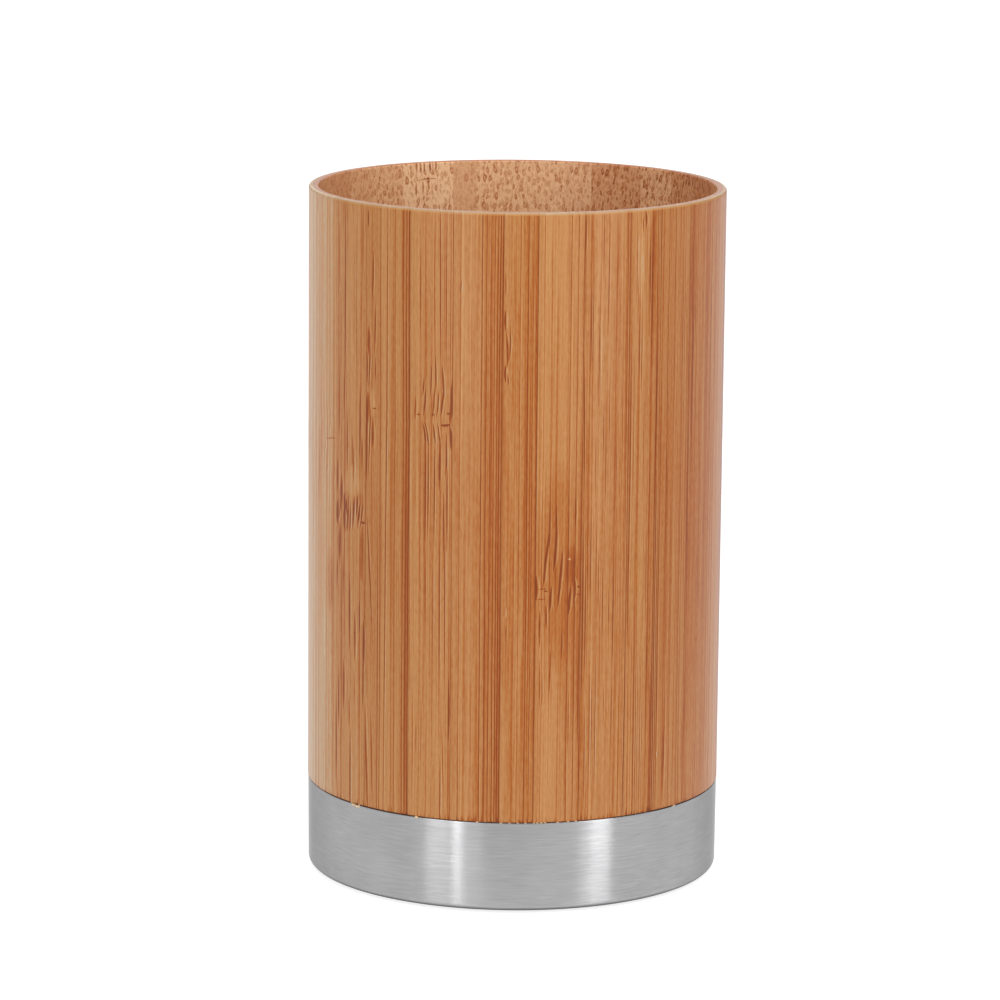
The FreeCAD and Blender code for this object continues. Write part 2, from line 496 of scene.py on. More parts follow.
FRONT_SLATS.append(slat(
    shade=[(0.0, 0.42), (1.6, 0.37), (4.0, 0.35), (7.8, 0.38)],
    lines=[(2.55, 0.18, 0.12), (5.55, 0.1, 0.14), (7.72, 0.09, 0.22)],
    marks=[
        mark(2.55, 80, 109, 0.26, 0.2), mark(5.55, 84, 107, 0.13, 0.24),
        mark(6.95, 96.5, 110, 0.18, 0.16), mark(0.9, 96, 107, 0.24, 0.12), mark(1.0, 72, 84, 0.3, 0.18),
        mark(2.35, 75.5, 84, 0.22, 0.26), mark(3.25, 67.2, 77, 0.26, 0.28),
        mark(4.55, 68, 73.6, 0.2, 0.28), mark(4.9, 65.4, 72.6, 0.26, 0.28), mark(6.4, 70, 82, 0.24, 0.3),
        mark(6.9, 68.4, 74, 0.22, 0.28), mark(0.5, 63.55, 69.35, 0.48, 0.26),
        mark(1.65, 60.55, 67.35, 0.46, 0.26), mark(2.0, 62.95, 66.55, 0.16, 0.24),
        mark(4.8, 63.75, 68.85, 2.8, -0.06), mark(0.45, 58.75, 62.55, 0.46, 0.36),
        mark(1.0, 59.65, 62.95, 0.24, 0.4, lean=0.4), mark(2.8, 60.3, 64.4, 0.9, 0.13),
        mark(2.9, 57.8, 62, 1.1, 0.09), mark(0.6, 58.4, 63, 0.6, 0.1),
        mark(2.5, 60.55, 64.15, 0.34, 0.44), mark(3.05, 60.75, 63.35, 0.3, 0.4),
        mark(3.6, 59.95, 63.85, 0.24, 0.46), mark(2.4, 58.25, 61.95, 0.4, 0.44),
        mark(3.25, 58.05, 61.75, 0.26, 0.42, lean=0.2), mark(3.95, 58.05, 63.15, 0.26, 0.44, lean=0.3),
        mark(4.65, 58.35, 64.05, 0.3, 0.7, lean=0.5), mark(5.6, 60.55, 64.25, 0.24, 0.48, lean=0.3),
        mark(5.85, 58.75, 63.05, 0.28, 0.64, lean=0.6), mark(6.5, 58.95, 62.85, 0.22, 0.5, lean=0.6),
        tick(60, 6.5, 7.8, 0.26, 0.75), mark(6.2, 60.35, 64.95, 1.4, 0.07),
        mark(6.9, 50.35, 59.35, 0.8, 0.1), mark(1.2, 52.85, 58.95, 0.52, 0.22),
        mark(0.45, 48.4, 53.6, 0.26, 0.28), mark(2.2, 46.0, 54.5, 0.21, 0.3),
        mark(3.95, 38.4, 52.1, 0.27, 0.47), mark(5.3, 37.0, 46.0, 0.31, 0.45),
        mark(6.45, 42.4, 47.6, 0.23, 0.33), mark(7.4, 36.3, 44.7, 0.34, 0.75),
        mark(7.35, 29.9, 39.0, 0.29, 0.33), mark(0.95, 25.9, 35.0, 0.31, 0.3),
        mark(2.35, 29.0, 37.5, 0.36, 0.28), mark(3.95, 26.4, 31.6, 0.23, 0.28),
        mark(4.2, 11.2, 26.8, 0.27, 0.43), mark(0.2, 16.1, 33.0, 0.36, 0.33),
        mark(5.2, 30.2, 36.8, 0.21, 0.22),
    ],
    knot=Knot(61.2, 0.3),
    dashes=0.3,
))
print("marks so far:", sum(len(recipe.marks) for recipe in FRONT_SLATS))

# %% [markdown]
# ### Slats 3 and 4
# A knot in the upper half spans both. On the third, fibres sweep round it from the left edge, and one long
# line slants up the whole slat. On the fourth, fibres kink sideways at one height and go on.

# %% Slats 3 and 4
FRONT_SLATS.append(slat(
    shade=[(0.0, 0.41), (2.0, 0.4), (6.6, 0.4), (7.2, 0.49), (8.45, 0.54), (8.6, 0.46)],
    lines=[(3.0, 0.1, 0.34), (5.85, 0.08, 0.24), (7.4, 0.1, 0.32), (7.95, 0.1, 0.34), (8.4, 0.11, 0.4)],
    marks=[
        mark(3.72, -12, 134, 0.14, 0.46, lean=0.85), mark(2.55, 2, 66, 0.11, 0.34),
        mark(0.4, 106.3, 109.2, 0.2, 0.4), mark(1.2, 95, 103.5, 0.18, 0.38, lean=0.15, bow=0.1),
        mark(0.45, 81.28, 88.28, 0.2, 0.44, lean=0.45), mark(0.5, 86.28, 91.28, 0.42, 0.26),
        mark(0.18, 81.78, 87.28, 0.18, 0.32), mark(1.7, 86.48, 94.88, 0.2, 0.36, lean=0.2),
        mark(1.95, 82.68, 86.48, 0.15, 0.28), tick(78.28, 1.2, 2.1, 0.18, 0.5, rise=0.1),
        mark(1.3, 76.88, 81.68, 0.8, -0.12), mark(0.3, 75.88, 80.88, 0.55, 0.26),
        mark(0.12, 66.68, 80.28, 0.28, 0.5), mark(0.42, 66.88, 78.88, 0.19, 0.48, lean=0.5),
        mark(1.4, 71.88, 76.48, 0.34, 0.26), mark(1.65, 40, 63, 0.14, 0.4, lean=-1.45),
        mark(1.3, 48, 61, 0.13, 0.28, lean=-0.9), mark(0.7, 12, 37, 0.3, 0.3, lean=-1.2),
        mark(1.6, 16, 31, 0.22, 0.24, lean=-0.5),
    ],
    knot=Knot(78.0, 0.25),
    dashes=0.1,
))
FRONT_SLATS.append(slat(
    shade=[(0.0, 0.44), (0.2, 0.375), (3.6, 0.375), (6.4, 0.39), (7.2, 0.42)],
    lines=[(7.12, 0.08, 0.34)],
    marks=[
        mark(1.85, 89, 104.5, 0.11, 0.26), mark(5.15, 84, 114, 0.14, 0.46, lean=-0.1),
        mark(6.1, 85, 114, 0.11, 0.3), mark(6.8, 82, 114, 0.1, 0.26), mark(4.1, 88, 108, 0.1, 0.18),
        mark(1.0, 77.08, 81.28, 0.23, 0.22), tick(78.28, 1.2, 1.9, 0.21, 0.34),
        tick(78.43, 3.7, 4.3, 0.23, 0.3), tick(78.78, 6.2, 6.9, 0.21, 0.36),
        mark(2.2, 81.08, 84.28, 0.16, 0.42, lean=0.2), mark(2.42, 77.88, 82.48, 0.17, 0.44, lean=0.3),
        mark(3.55, 81.08, 86.28, 0.15, 0.42), mark(3.85, 77.78, 82.68, 0.17, 0.46, lean=0.35),
        mark(4.4, 81.28, 87.78, 0.15, 0.36, lean=-0.1), mark(4.55, 77.78, 82.28, 0.17, 0.46, lean=0.35),
        mark(5.25, 78.08, 82.88, 0.21, 0.54, lean=0.5), mark(5.75, 81.28, 86.28, 0.18, 0.5, lean=-0.35),
        mark(6.8, 76.68, 84.28, 0.37, 0.42, lean=0.35),
        tick(76.93, 5.2, 6.9, 0.28, 0.66, rise=0.2, bow=-0.12),
        mark(7.05, 73.08, 77.28, 0.3, 0.62, lean=-0.35, bow=0.05),
        mark(2.85, 73.78, 77.28, 0.18, 0.5, lean=-0.6), mark(3.25, 73.58, 77.28, 0.18, 0.5, lean=-0.6),
        mark(4.35, 73.78, 77.28, 0.17, 0.5, lean=-0.45), mark(5.15, 73.58, 77.28, 0.17, 0.46, lean=-0.5),
        mark(2.78, 58.28, 75.78, 0.16, 0.42), mark(3.22, 58.28, 75.58, 0.16, 0.44),
        mark(4.27, 57.28, 75.78, 0.16, 0.44), mark(5.1, 66.28, 75.28, 0.25, 0.36),
        mark(6.1, 68.58, 76.08, 0.18, 0.5, bow=0.15), mark(6.45, 56.28, 72.78, 0.16, 0.44, lean=-0.1),
        mark(5.85, 56.28, 67.28, 0.15, 0.32), mark(2.85, 45, 57, 0.1, 0.28),
        mark(4.15, 37, 59, 0.11, 0.32), mark(5.25, 37, 59, 0.11, 0.32), mark(6.1, 33, 67, 0.13, 0.38),
        mark(6.8, 26.5, 37.5, 0.24, 0.38, bow=0.08), mark(1.35, 24.5, 30, 0.12, 0.28),
        mark(5.45, 12, 25, 0.13, 0.36), mark(6.0, 19, 30, 0.14, 0.28, lean=-0.3),
        mark(2.2, 21, 35, 0.11, 0.24), mark(0.7, 15, 37, 0.14, 0.18),
    ],
    knot=Knot(78.4, 0.4),
    dashes=0.15,
))
print("marks so far:", sum(len(recipe.marks) for recipe in FRONT_SLATS))

# %% [markdown]
# ### Slats 5 and 6
# The fifth is plain, with long lines, and browner on its right. The sixth is narrow, with a chain of dark
# commas up its left edge.

# %% Slats 5 and 6
FRONT_SLATS.append(slat(
    shade=[(0.0, 0.45), (0.12, 0.42), (4.3, 0.43), (4.5, 0.5), (5.8, 0.51), (6.3, 0.55), (7.55, 0.57),
           (7.8, 0.46)],
    lines=[(1.15, 0.07, 0.3), (4.55, 0.09, 0.42), (5.25, 0.09, 0.3), (5.9, 0.09, 0.3), (6.5, 0.09, 0.38),
           (6.95, 0.1, 0.3), (7.3, 0.11, 0.4), (7.65, 0.09, 0.42)],
    marks=[
        mark(1.1, 97.4, 99.8, 0.12, 0.3, lean=0.2),
    ],
    dashes=0.05,
))
FRONT_SLATS.append(slat(
    shade=[(0.0, 0.42), (0.6, 0.39), (1.5, 0.42), (2.2, 0.47), (4.6, 0.49), (5.3, 0.5)],
    lines=[(1.9, 0.08, 0.16), (2.6, 0.09, 0.28), (3.75, 0.09, 0.3), (4.5, 0.08, 0.22), (5.22, 0.09, 0.36)],
    marks=[
        mark(0.35, 97, 101, 0.12, 0.3), mark(0.38, 91.8, 95.2, 0.2, 0.5, bow=-0.1),
        mark(0.6, 86, 92, 0.22, 0.34, lean=-0.2, bow=0.12), mark(0.9, 87, 91.5, 0.18, 0.3, lean=0.2),
        mark(0.42, 83.8, 86.9, 0.2, 0.54, bow=-0.12), mark(1.05, 88, 93, 0.12, 0.26),
        mark(0.8, 83.5, 85.5, 0.16, 0.34, lean=-0.2), mark(0.85, 47, 49, 0.12, -0.4),
        mark(0.85, 44, 46, 0.12, 0.34),
    ],
    dashes=0.2,
))
print("marks so far:", sum(len(recipe.marks) for recipe in FRONT_SLATS))

# %% [markdown]
# ### Slat 7
# A knot sits low on it in a browner cloud: leaning strokes above and below one level, small ticks at the
# edges and one bright chip.

# %% Slat 7
FRONT_SLATS.append(slat(
    shade=[(0.0, 0.48), (0.2, 0.38), (3.6, 0.37), (4.7, 0.39), (5.8, 0.42), (7.2, 0.44)],
    lines=[(0.95, 0.07, 0.22), (5.1, 0.09, 0.34), (6.2, 0.09, 0.3), (7.1, 0.08, 0.26)],
    marks=[
        mark(3.6, 38, 72, 4.5, 0.08), mark(5.4, 26, 60, 2.4, 0.04), mark(5.7, 52, 58.5, 1.6, 0.09),
        mark(1.9, 14, 36, 2.0, -0.03), mark(1.1, 51.57, 60.77, 0.26, 0.5, lean=0.9),
        mark(2.78, 54.37, 61.37, 0.26, 0.5, lean=0.55), mark(3.42, 48.37, 57.97, 0.26, 0.59, lean=0.75),
        mark(2.15, 47.87, 52.27, 0.23, 0.48, lean=0.3), mark(0.1, 49.77, 53.97, 0.31, 0.44),
        mark(5.2, 47.47, 52.47, 0.27, 0.55, lean=0.4), mark(6.05, 49.27, 53.87, 0.23, 0.57, bow=0.18),
        mark(1.65, 45.37, 49.37, 0.18, 0.36), mark(0.65, 42.37, 48.77, 0.21, 0.36),
        mark(6.2, 61.17, 66.37, 0.18, 0.34), tick(52.02, 6.5, 7.2, 0.23, 0.65, rise=-0.2),
        tick(51.42, 1.25, 1.95, 0.17, 0.46), tick(51.77, 0.2, 1.8, 0.13, 0.23),
        tick(50.17, 0.1, 1.6, 0.13, 0.21), tick(50.77, 6.3, 7.2, 0.13, 0.23),
        mark(0.7, 32.5, 41, 0.15, 0.3), mark(1.1, 32.5, 39, 0.12, 0.24),
        mark(2.2, 34.5, 42, 0.15, 0.3, lean=0.2), mark(4.2, 40.5, 45.5, 0.14, 0.26),
        mark(5.4, 25, 36, 0.12, 0.24), mark(6.9, 25, 46, 0.12, 0.26), mark(2.1, 57.5, 65.5, 0.14, 0.26),
        mark(3.2, 57.5, 65, 0.14, 0.28), tick(56.35, 4.95, 5.6, 0.22, -0.6),
    ],
    knot=Knot(52.0, 0.3),
    dashes=0.15,
    fall=0.08,
))
print("marks so far:", sum(len(recipe.marks) for recipe in FRONT_SLATS))

# %% [markdown]
# ### Slats 8 and 9
# These have no knot. Their fibres show as many fine, long dashes, and the ninth has a dark hook at its rim.

# %% Slats 8 and 9
FRONT_SLATS.append(slat(
    shade=[(0.0, 0.43), (0.4, 0.38), (2.5, 0.38), (6.8, 0.37), (7.5, 0.39), (7.8, 0.43)],
    lines=[(7.35, 0.07, 0.26), (7.66, 0.08, 0.3)],
    marks=[
        mark(0.15, 103.5, 109.5, 0.15, 0.42), mark(0.42, 67, 88.5, 0.14, 0.42, lean=-0.25),
        mark(1.25, 85, 100, 0.11, 0.4), mark(1.5, 86.5, 97.5, 0.09, 0.32),
        mark(2.6, 79.5, 98.5, 0.11, 0.4), mark(3.1, 98.5, 112, 0.11, 0.38), mark(4.0, 92, 107, 0.1, 0.34),
        mark(2.8, 79.5, 93.5, 0.09, 0.28), mark(3.5, 71.5, 81.5, 0.1, 0.4),
        mark(3.9, 63.5, 76.5, 0.1, 0.34), mark(4.4, 73.5, 84.5, 0.09, 0.24),
        mark(5.6, 63.5, 74.5, 0.09, 0.26), mark(2.2, 65.5, 76.5, 0.09, 0.26),
        mark(0.25, 33, 63, 0.17, 0.4), mark(0.75, 37.5, 56.5, 0.11, 0.34),
        mark(1.6, 49.5, 63.5, 0.11, 0.34), mark(2.5, 49.5, 62.5, 0.1, 0.32),
        mark(2.9, 46.5, 58, 0.11, 0.36), mark(3.6, 42.5, 55.5, 0.11, 0.36), mark(5.4, 39, 55, 0.11, 0.36),
        mark(4.6, 43.5, 52.5, 0.1, 0.28), mark(1.65, 18.5, 40.5, 0.1, 0.4),
        mark(2.0, 19.5, 38.5, 0.09, 0.38), mark(2.6, 17.5, 41.5, 0.1, 0.4),
        mark(0.85, 16.5, 33.5, 0.13, 0.32), mark(5.4, 27.5, 36.5, 0.09, 0.24),
        mark(4.0, 29.5, 36.5, 0.09, 0.24), mark(7.55, 6, 40, 0.14, 0.36, lean=0.2),
    ],
    dashes=0.25,
))
FRONT_SLATS.append(slat(
    shade=[(0.0, 0.43), (0.6, 0.4), (0.9, 0.36), (3.4, 0.36), (3.8, 0.43), (5.0, 0.47), (6.0, 0.45)],
    lines=[(5.2, 0.09, 0.32), (5.92, 0.09, 0.36)],
    marks=[
        mark(0.38, 40, 92, 0.15, 0.44), mark(1.2, 94, 108, 0.13, 0.32), mark(1.45, 90, 104, 0.1, 0.28),
        mark(1.85, 83.5, 94, 0.1, 0.36), mark(2.3, 81, 93.5, 0.11, 0.4),
        mark(2.75, 106.8, 110.2, 0.22, 0.46, lean=-0.2, bow=0.15),
        mark(2.35, 106.2, 109, 0.14, 0.3, bow=-0.12), mark(1.9, 96, 108, 1.0, -0.1),
        mark(4.4, 84, 116, 0.8, 0.08), mark(3.75, 90, 108, 0.14, 0.24), mark(2.9, 63.5, 84.5, 0.09, 0.28),
        mark(0.95, 61.5, 88.5, 0.09, 0.3), mark(5.35, 61, 91, 0.13, 0.24),
        mark(1.7, 10, 47.5, 0.09, 0.38), mark(2.1, 10, 46.5, 0.09, 0.36),
        mark(2.45, 12, 44.5, 0.08, 0.32), mark(2.95, 11, 40.5, 0.09, 0.34),
        mark(3.3, 12, 38.5, 0.08, 0.3), mark(3.7, 45, 59.5, 0.11, 0.34), mark(5.5, 4, 70, 0.17, 0.26),
        mark(4.6, 29, 56, 0.09, 0.22),
    ],
    dashes=0.2,
))
print("marks so far:", sum(len(recipe.marks) for recipe in FRONT_SLATS))

# %% [markdown]
# ### Slats 10 to 12, and the last
# On the right the slats turn away from the eye. They are browner, and their lines are broad and soft. The
# last slat closes the ring on the left beside the first, and it is as pale.

# %% Slats 10 to 12, and the last
FRONT_SLATS.append(slat(
    shade=[(0.0, 0.5), (0.4, 0.46), (3.5, 0.47), (6.4, 0.45), (7.0, 0.49)],
    lines=[(1.7, 0.11, 0.2), (3.2, 0.11, 0.22), (5.2, 0.11, 0.28), (5.7, 0.11, 0.2), (6.9, 0.1, 0.24)],
    marks=[
        mark(0.55, 23.2, 24.2, 0.15, -0.6), mark(1.9, 16, 28, 0.3, 0.16), mark(2.1, 20, 35, 0.2, 0.14),
        mark(0.3, 10, 64, 0.2, 0.2),
    ],
    dashes=0.2,
))
FRONT_SLATS.append(slat(
    shade=[(0.0, 0.5), (1.1, 0.51), (1.8, 0.49), (4.3, 0.475), (7.2, 0.465)],
    lines=[(0.25, 0.12, 0.1), (0.8, 0.2, 0.06), (2.0, 0.15, 0.09), (5.6, 0.25, 0.06)],
    marks=[
        mark(0.6, 89, 114, 0.6, 0.1), mark(0.25, 57, 78, 0.15, 0.26), mark(1.0, 70, 96, 0.3, 0.14),
        mark(0.4, 12, 62, 0.22, 0.09), mark(1.6, 84, 105, 0.25, 0.14),
    ],
    dashes=0.2,
))
FRONT_SLATS.append(slat(
    shade=[(0.0, 0.48), (0.4, 0.46), (2.4, 0.45), (4.0, 0.39), (7.5, 0.38)],
    lines=[(0.2, 0.15, 0.14), (2.2, 0.3, 0.1), (4.4, 0.25, 0.1), (6.0, 0.25, 0.12)],
    dashes=0.2,
))
LAST_SLAT = slat(
    shade=[(0.0, 0.13), (4.5, 0.1), (5.4, 0.15), (6.2, 0.09), (7.0, 0.15), (7.5, 0.11)],
    lines=[(3.0, 0.3, 0.12), (5.3, 0.3, 0.12), (6.9, 0.3, 0.14)],
    marks=[
        mark(6.0, 58, 84, 0.35, 0.16, bow=0.3), mark(4.8, 60, 80, 0.4, 0.14, bow=-0.3),
    ],
    knot=Knot(70.0, 1.2),
)
print("front slats:", len(FRONT_SLATS), "with", sum(len(recipe.marks) for recipe in FRONT_SLATS), "marks")

# %% [markdown]
# ## Bamboo: the slats round the back
# The other slats come from the same culms, so their recipes are drawn by chance from the same ranges, with
# a fixed seed. About one in three has a knot: short strokes side by side that lean together. The strokes
# have a seed of their own, so that changing them leaves the rest of the slats as they are.

# %% Recipes of the other slats
GROWN_SEED = 41
KNOT_SEED = 23
KNOT_SHARE = 0.35
KNOT_INK = 0.42
KNOT_STRENGTHS = (0.2, 0.5, 1.0)
LINE_COUNT = (4, 9)
MARK_COUNT = (5, 12)
MARGIN = 0.2
LEFT_EDGE, LEFT_EDGE_STEP = 0.3, 0.08
RIGHT_EDGE_STEP = 0.06
BAND_BLEND = 0.4
RANGES = {
    "tone": (0.36, 0.52),
    "band": (0.2, 0.7),
    "line width": (0.09, 0.16),
    "line depth": (0.10, 0.32),
    "mark foot": (12, 98),
    "mark length": (6, 22),
    "mark width": (0.14, 0.32),
    "mark depth": (0.18, 0.42),
    "mark lean": (-0.3, 0.3),
    "mark bow": (-0.12, 0.12),
    "knot height": (25, 100),
    "knot curl": (0.5, 1.0),
    "dashes": (0.1, 0.8),
    "fall": (-0.05, 0.08),
    "stroke lean": (-0.5, 0.5),
    "stroke down": (1.0, 3.2),
    "stroke up": (0.6, 2.6),
    "stroke width": (0.18, 0.36),
    "stroke depth": (0.4, 1.0),
    "stroke step": (0.35, 0.8),
}
chance = random.Random(GROWN_SEED)
knot_chance = random.Random(KNOT_SEED)


def pick(draw, what):
    """A value drawn from a named range."""
    return draw.uniform(*RANGES[what])


def knot_strokes(width, height, depth):
    """The brush of a knot: short strokes side by side, which lean together."""
    strokes = []
    lean = pick(knot_chance, "stroke lean")
    across = MARGIN
    while across < width - MARGIN:
        foot = height - pick(knot_chance, "stroke down")
        head = height + pick(knot_chance, "stroke up")
        half = pick(knot_chance, "stroke width")
        strokes.append(mark(across, foot, head, half, depth * pick(knot_chance, "stroke depth"), lean))
        across += pick(knot_chance, "stroke step")
    return strokes


def grown_slat(width):
    """A recipe drawn by chance."""
    left, right = pick(chance, "tone"), pick(chance, "tone")
    band = pick(chance, "band") * width
    shade = [(0.0, left + LEFT_EDGE_STEP), (LEFT_EDGE, left), (band, left), (band + BAND_BLEND, right),
             (width, right + RIGHT_EDGE_STEP)]
    lines = [(chance.uniform(MARGIN, width - MARGIN), pick(chance, "line width"), pick(chance, "line depth"))
             for _ in range(chance.randint(*LINE_COUNT))]
    marks = []
    for _ in range(chance.randint(*MARK_COUNT)):
        foot = pick(chance, "mark foot")
        across = chance.uniform(MARGIN, width - MARGIN)
        head = foot + pick(chance, "mark length")
        marks.append(mark(across, foot, head, pick(chance, "mark width"), pick(chance, "mark depth"),
                          pick(chance, "mark lean"), pick(chance, "mark bow")))
    knot = NO_KNOT
    if chance.random() < KNOT_SHARE:
        knot = Knot(pick(chance, "knot height"), pick(chance, "knot curl"))
        marks += knot_strokes(width, knot.height, KNOT_INK * chance.choice(KNOT_STRENGTHS))
    return slat(shade, lines, marks, knot, pick(chance, "dashes"), pick(chance, "fall"))


print("seeds of the other slats and of their knots:", GROWN_SEED, KNOT_SEED)

# %% [markdown]
# ## Bamboo: the finish of a slat
# The tone of a slat adds up in order: its shade across the width, its fall up the height with a painted
# light and shade on it (paler at the foot, where the glowing table would light it, darker at mid-height),
# fine and broad fibres, long lines with a painted highlight on their right, dashes, its single marks, the
# stain that the foot draws up from the glue, and the rim, paler for its sanded end grain and for a painted
# highlight along its round. Both ramps across the slat hold one grey value per stop. The bends of the
# fibres carry everything along with them. Only the long lines are grooves in the bump: the marks are
# stains, level with the face.

# %% Slat finish
# Steps in tone
FINE_STEP = 0.36
BROAD_STEP = 0.18
LINE_STEP = 0.20
DASH_STEP = 0.44
STAIN_STEP = 0.26
# How pale the painted highlight to the right of each long line is, against the line's depth
LINE_HIGHLIGHT = 0.22
DARKEST_MARK = 0.84
LIGHTEST_THREAD = 0.085
# The rim's pale tone: sanded end grain, with a painted highlight along its round
RIM_TONE = 0.05
RIM_SHARE = 0.85
# Painted light and shade up the slat, as tone steps at shares of its height: paler foot, darker middle
PAINTED_HEIGHT_SHADING = [(0.0, -0.03), (0.45, 0.04), (1.0, -0.005)]
# Ranges: a line's strength where the broad tone is pale and dark, the stain's height, how it fades, the rim
LINE_STRENGTH = (0.3, 0.65, 1.25, 1.8)
STAIN_CELL = (0.30, 400.0)
STAIN_RISE = (0.52, 0.85, 0.05, 2.4)
STAIN_FADE = (0.3, 1.0, STAIN_STEP, 0.0)
RIM_START, RIM_FULL = 0.5, 0.1
slat_nodes = sorted(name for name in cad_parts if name.startswith("outer_strip_"))
slat_heights = [v.co.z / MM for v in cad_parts[slat_nodes[0]].data.vertices]
slat_foot, slat_rim = min(slat_heights), max(slat_heights)


def grey(value):
    """A ramp colour that holds one number."""
    return (value, value, value, 1.0)


def line_stops(lines, width):
    """Ramp stops for long lines about a middle grey: a dark peak at each, a painted highlight to its right.
    """
    stops = [(0.0, grey(MIDDLE)), (1.0, grey(MIDDLE))]
    for across, half, depth in lines:
        stops += [((across - half) / width, grey(MIDDLE)), (across / width, grey(MIDDLE + depth / 2)),
                  ((across + half) / width, grey(MIDDLE - LINE_HIGHLIGHT * depth / 2))]
    return stops


def slat_tone(tree, recipe, width, seed):
    """The tone and the grooves of one slat."""
    grain = add(tree, "ShaderNodeAttribute", attribute_name="grain").outputs["Vector"]
    fibres = add(tree, "ShaderNodeGroup", node_tree=FIBRES, inputs={
        "Grain": grain,
        "Seed": seed,
        "Knot Height": recipe.knot.height,
        "Knot Curl": recipe.knot.curl,
    }).outputs
    across, height = fibres["Across"], fibres["Height"]
    share = add(tree, OVER, [across, width])
    tone = add(tree, RAMP, [share], stops=[(mm / width, grey(value)) for mm, value in recipe.shade])
    climb = add(tree, MAP_RANGE, [height, slat_foot, slat_rim, 0.0, 1.0])
    # The painted light and shade up the height, with the recipe's fall, which is the slat's own tone
    upright = [(at, grey(MIDDLE + step + recipe.fall * (MIDDLE - at))) for at, step in PAINTED_HEIGHT_SHADING]
    tone = add(tree, PLUS, [tone, add(tree, RAMP, [climb], stops=upright)])
    tone = add(tree, MINUS, [tone, MIDDLE])
    for texture, step in (("Fine", FINE_STEP), ("Broad", BROAD_STEP)):
        centred = add(tree, MINUS, [fibres[texture], MIDDLE])
        tone = add(tree, TIMES_PLUS, [centred, step, tone])
    tone = add(tree, TIMES_PLUS, [fibres["Lines"], LINE_STEP, tone])
    tone = add(tree, TIMES_PLUS, [fibres["Dashes"], DASH_STEP * recipe.dashes, tone])
    lines = add(tree, RAMP, [share], stops=line_stops(recipe.lines, width))
    lines = add(tree, MAP_RANGE, [lines, 0.0, 1.0, -1.0, 1.0])
    strength = add(tree, MAP_RANGE, [fibres["Broad"], *LINE_STRENGTH])
    groove = add(tree, TIMES, [lines, strength])
    tone = add(tree, PLUS, [tone, groove])
    tone = draw_marks(tree, tone, across, height, recipe.marks)
    tone = add(tree, MATH, [tone, DARKEST_MARK], operation="MINIMUM")
    tone = add(tree, MATH, [tone, LIGHTEST_THREAD], operation="MAXIMUM")
    bent = add(tree, COMBINE, [across, seed, height])
    rise = add(tree, MAP_RANGE, [fibre_pattern(tree, bent, STAIN_CELL), *STAIN_RISE])
    above = add(tree, MINUS, [height, slat_foot])
    above = add(tree, OVER, [above, rise])
    stain = add(tree, MAP_RANGE, [above, *STAIN_FADE])
    tone = add(tree, PLUS, [tone, stain])
    # Towards the rim the tone turns pale: sanded end grain and a painted highlight along the round
    rim = add(tree, MAP_RANGE, [height, slat_rim - RIM_START, slat_rim - RIM_FULL, 0.0, RIM_SHARE])
    paler = add(tree, MINUS, [RIM_TONE, tone])
    return add(tree, TIMES_PLUS, [paler, rim, tone]), groove


print("slats run from", round(slat_foot, 2), "to", round(slat_rim, 2), "mm")

# %% [markdown]
# ## The slats
# A slat is a rule, not a drawing: a bent bar with a rounded outer edge at the rim. Each could be a bent box
# with its edge bevelled, but one Geometry Nodes tree with named sizes makes them all, from a flat grid. The
# columns of the grid go once round the bar, across its outer face and back across its inner face, and the
# rows climb from the foot to the rim and over the round. The first and last rows meet at mid-depth and
# close the ends, and a knot is a slight dent. The grid's own map is kept for baking, and the fibres' place
# is stored before the seam is merged.

# %% Slat tree
FACE_COLUMNS = 24
WALL_ROWS = 150
ROUND_ROWS = 6
LAST_COLUMN = 2 * FACE_COLUMNS + 2
LAST_ROW = WALL_ROWS + ROUND_ROWS + 2
MERGE_DISTANCE = 1e-6
KNOT_DENT = 0.03 * MM


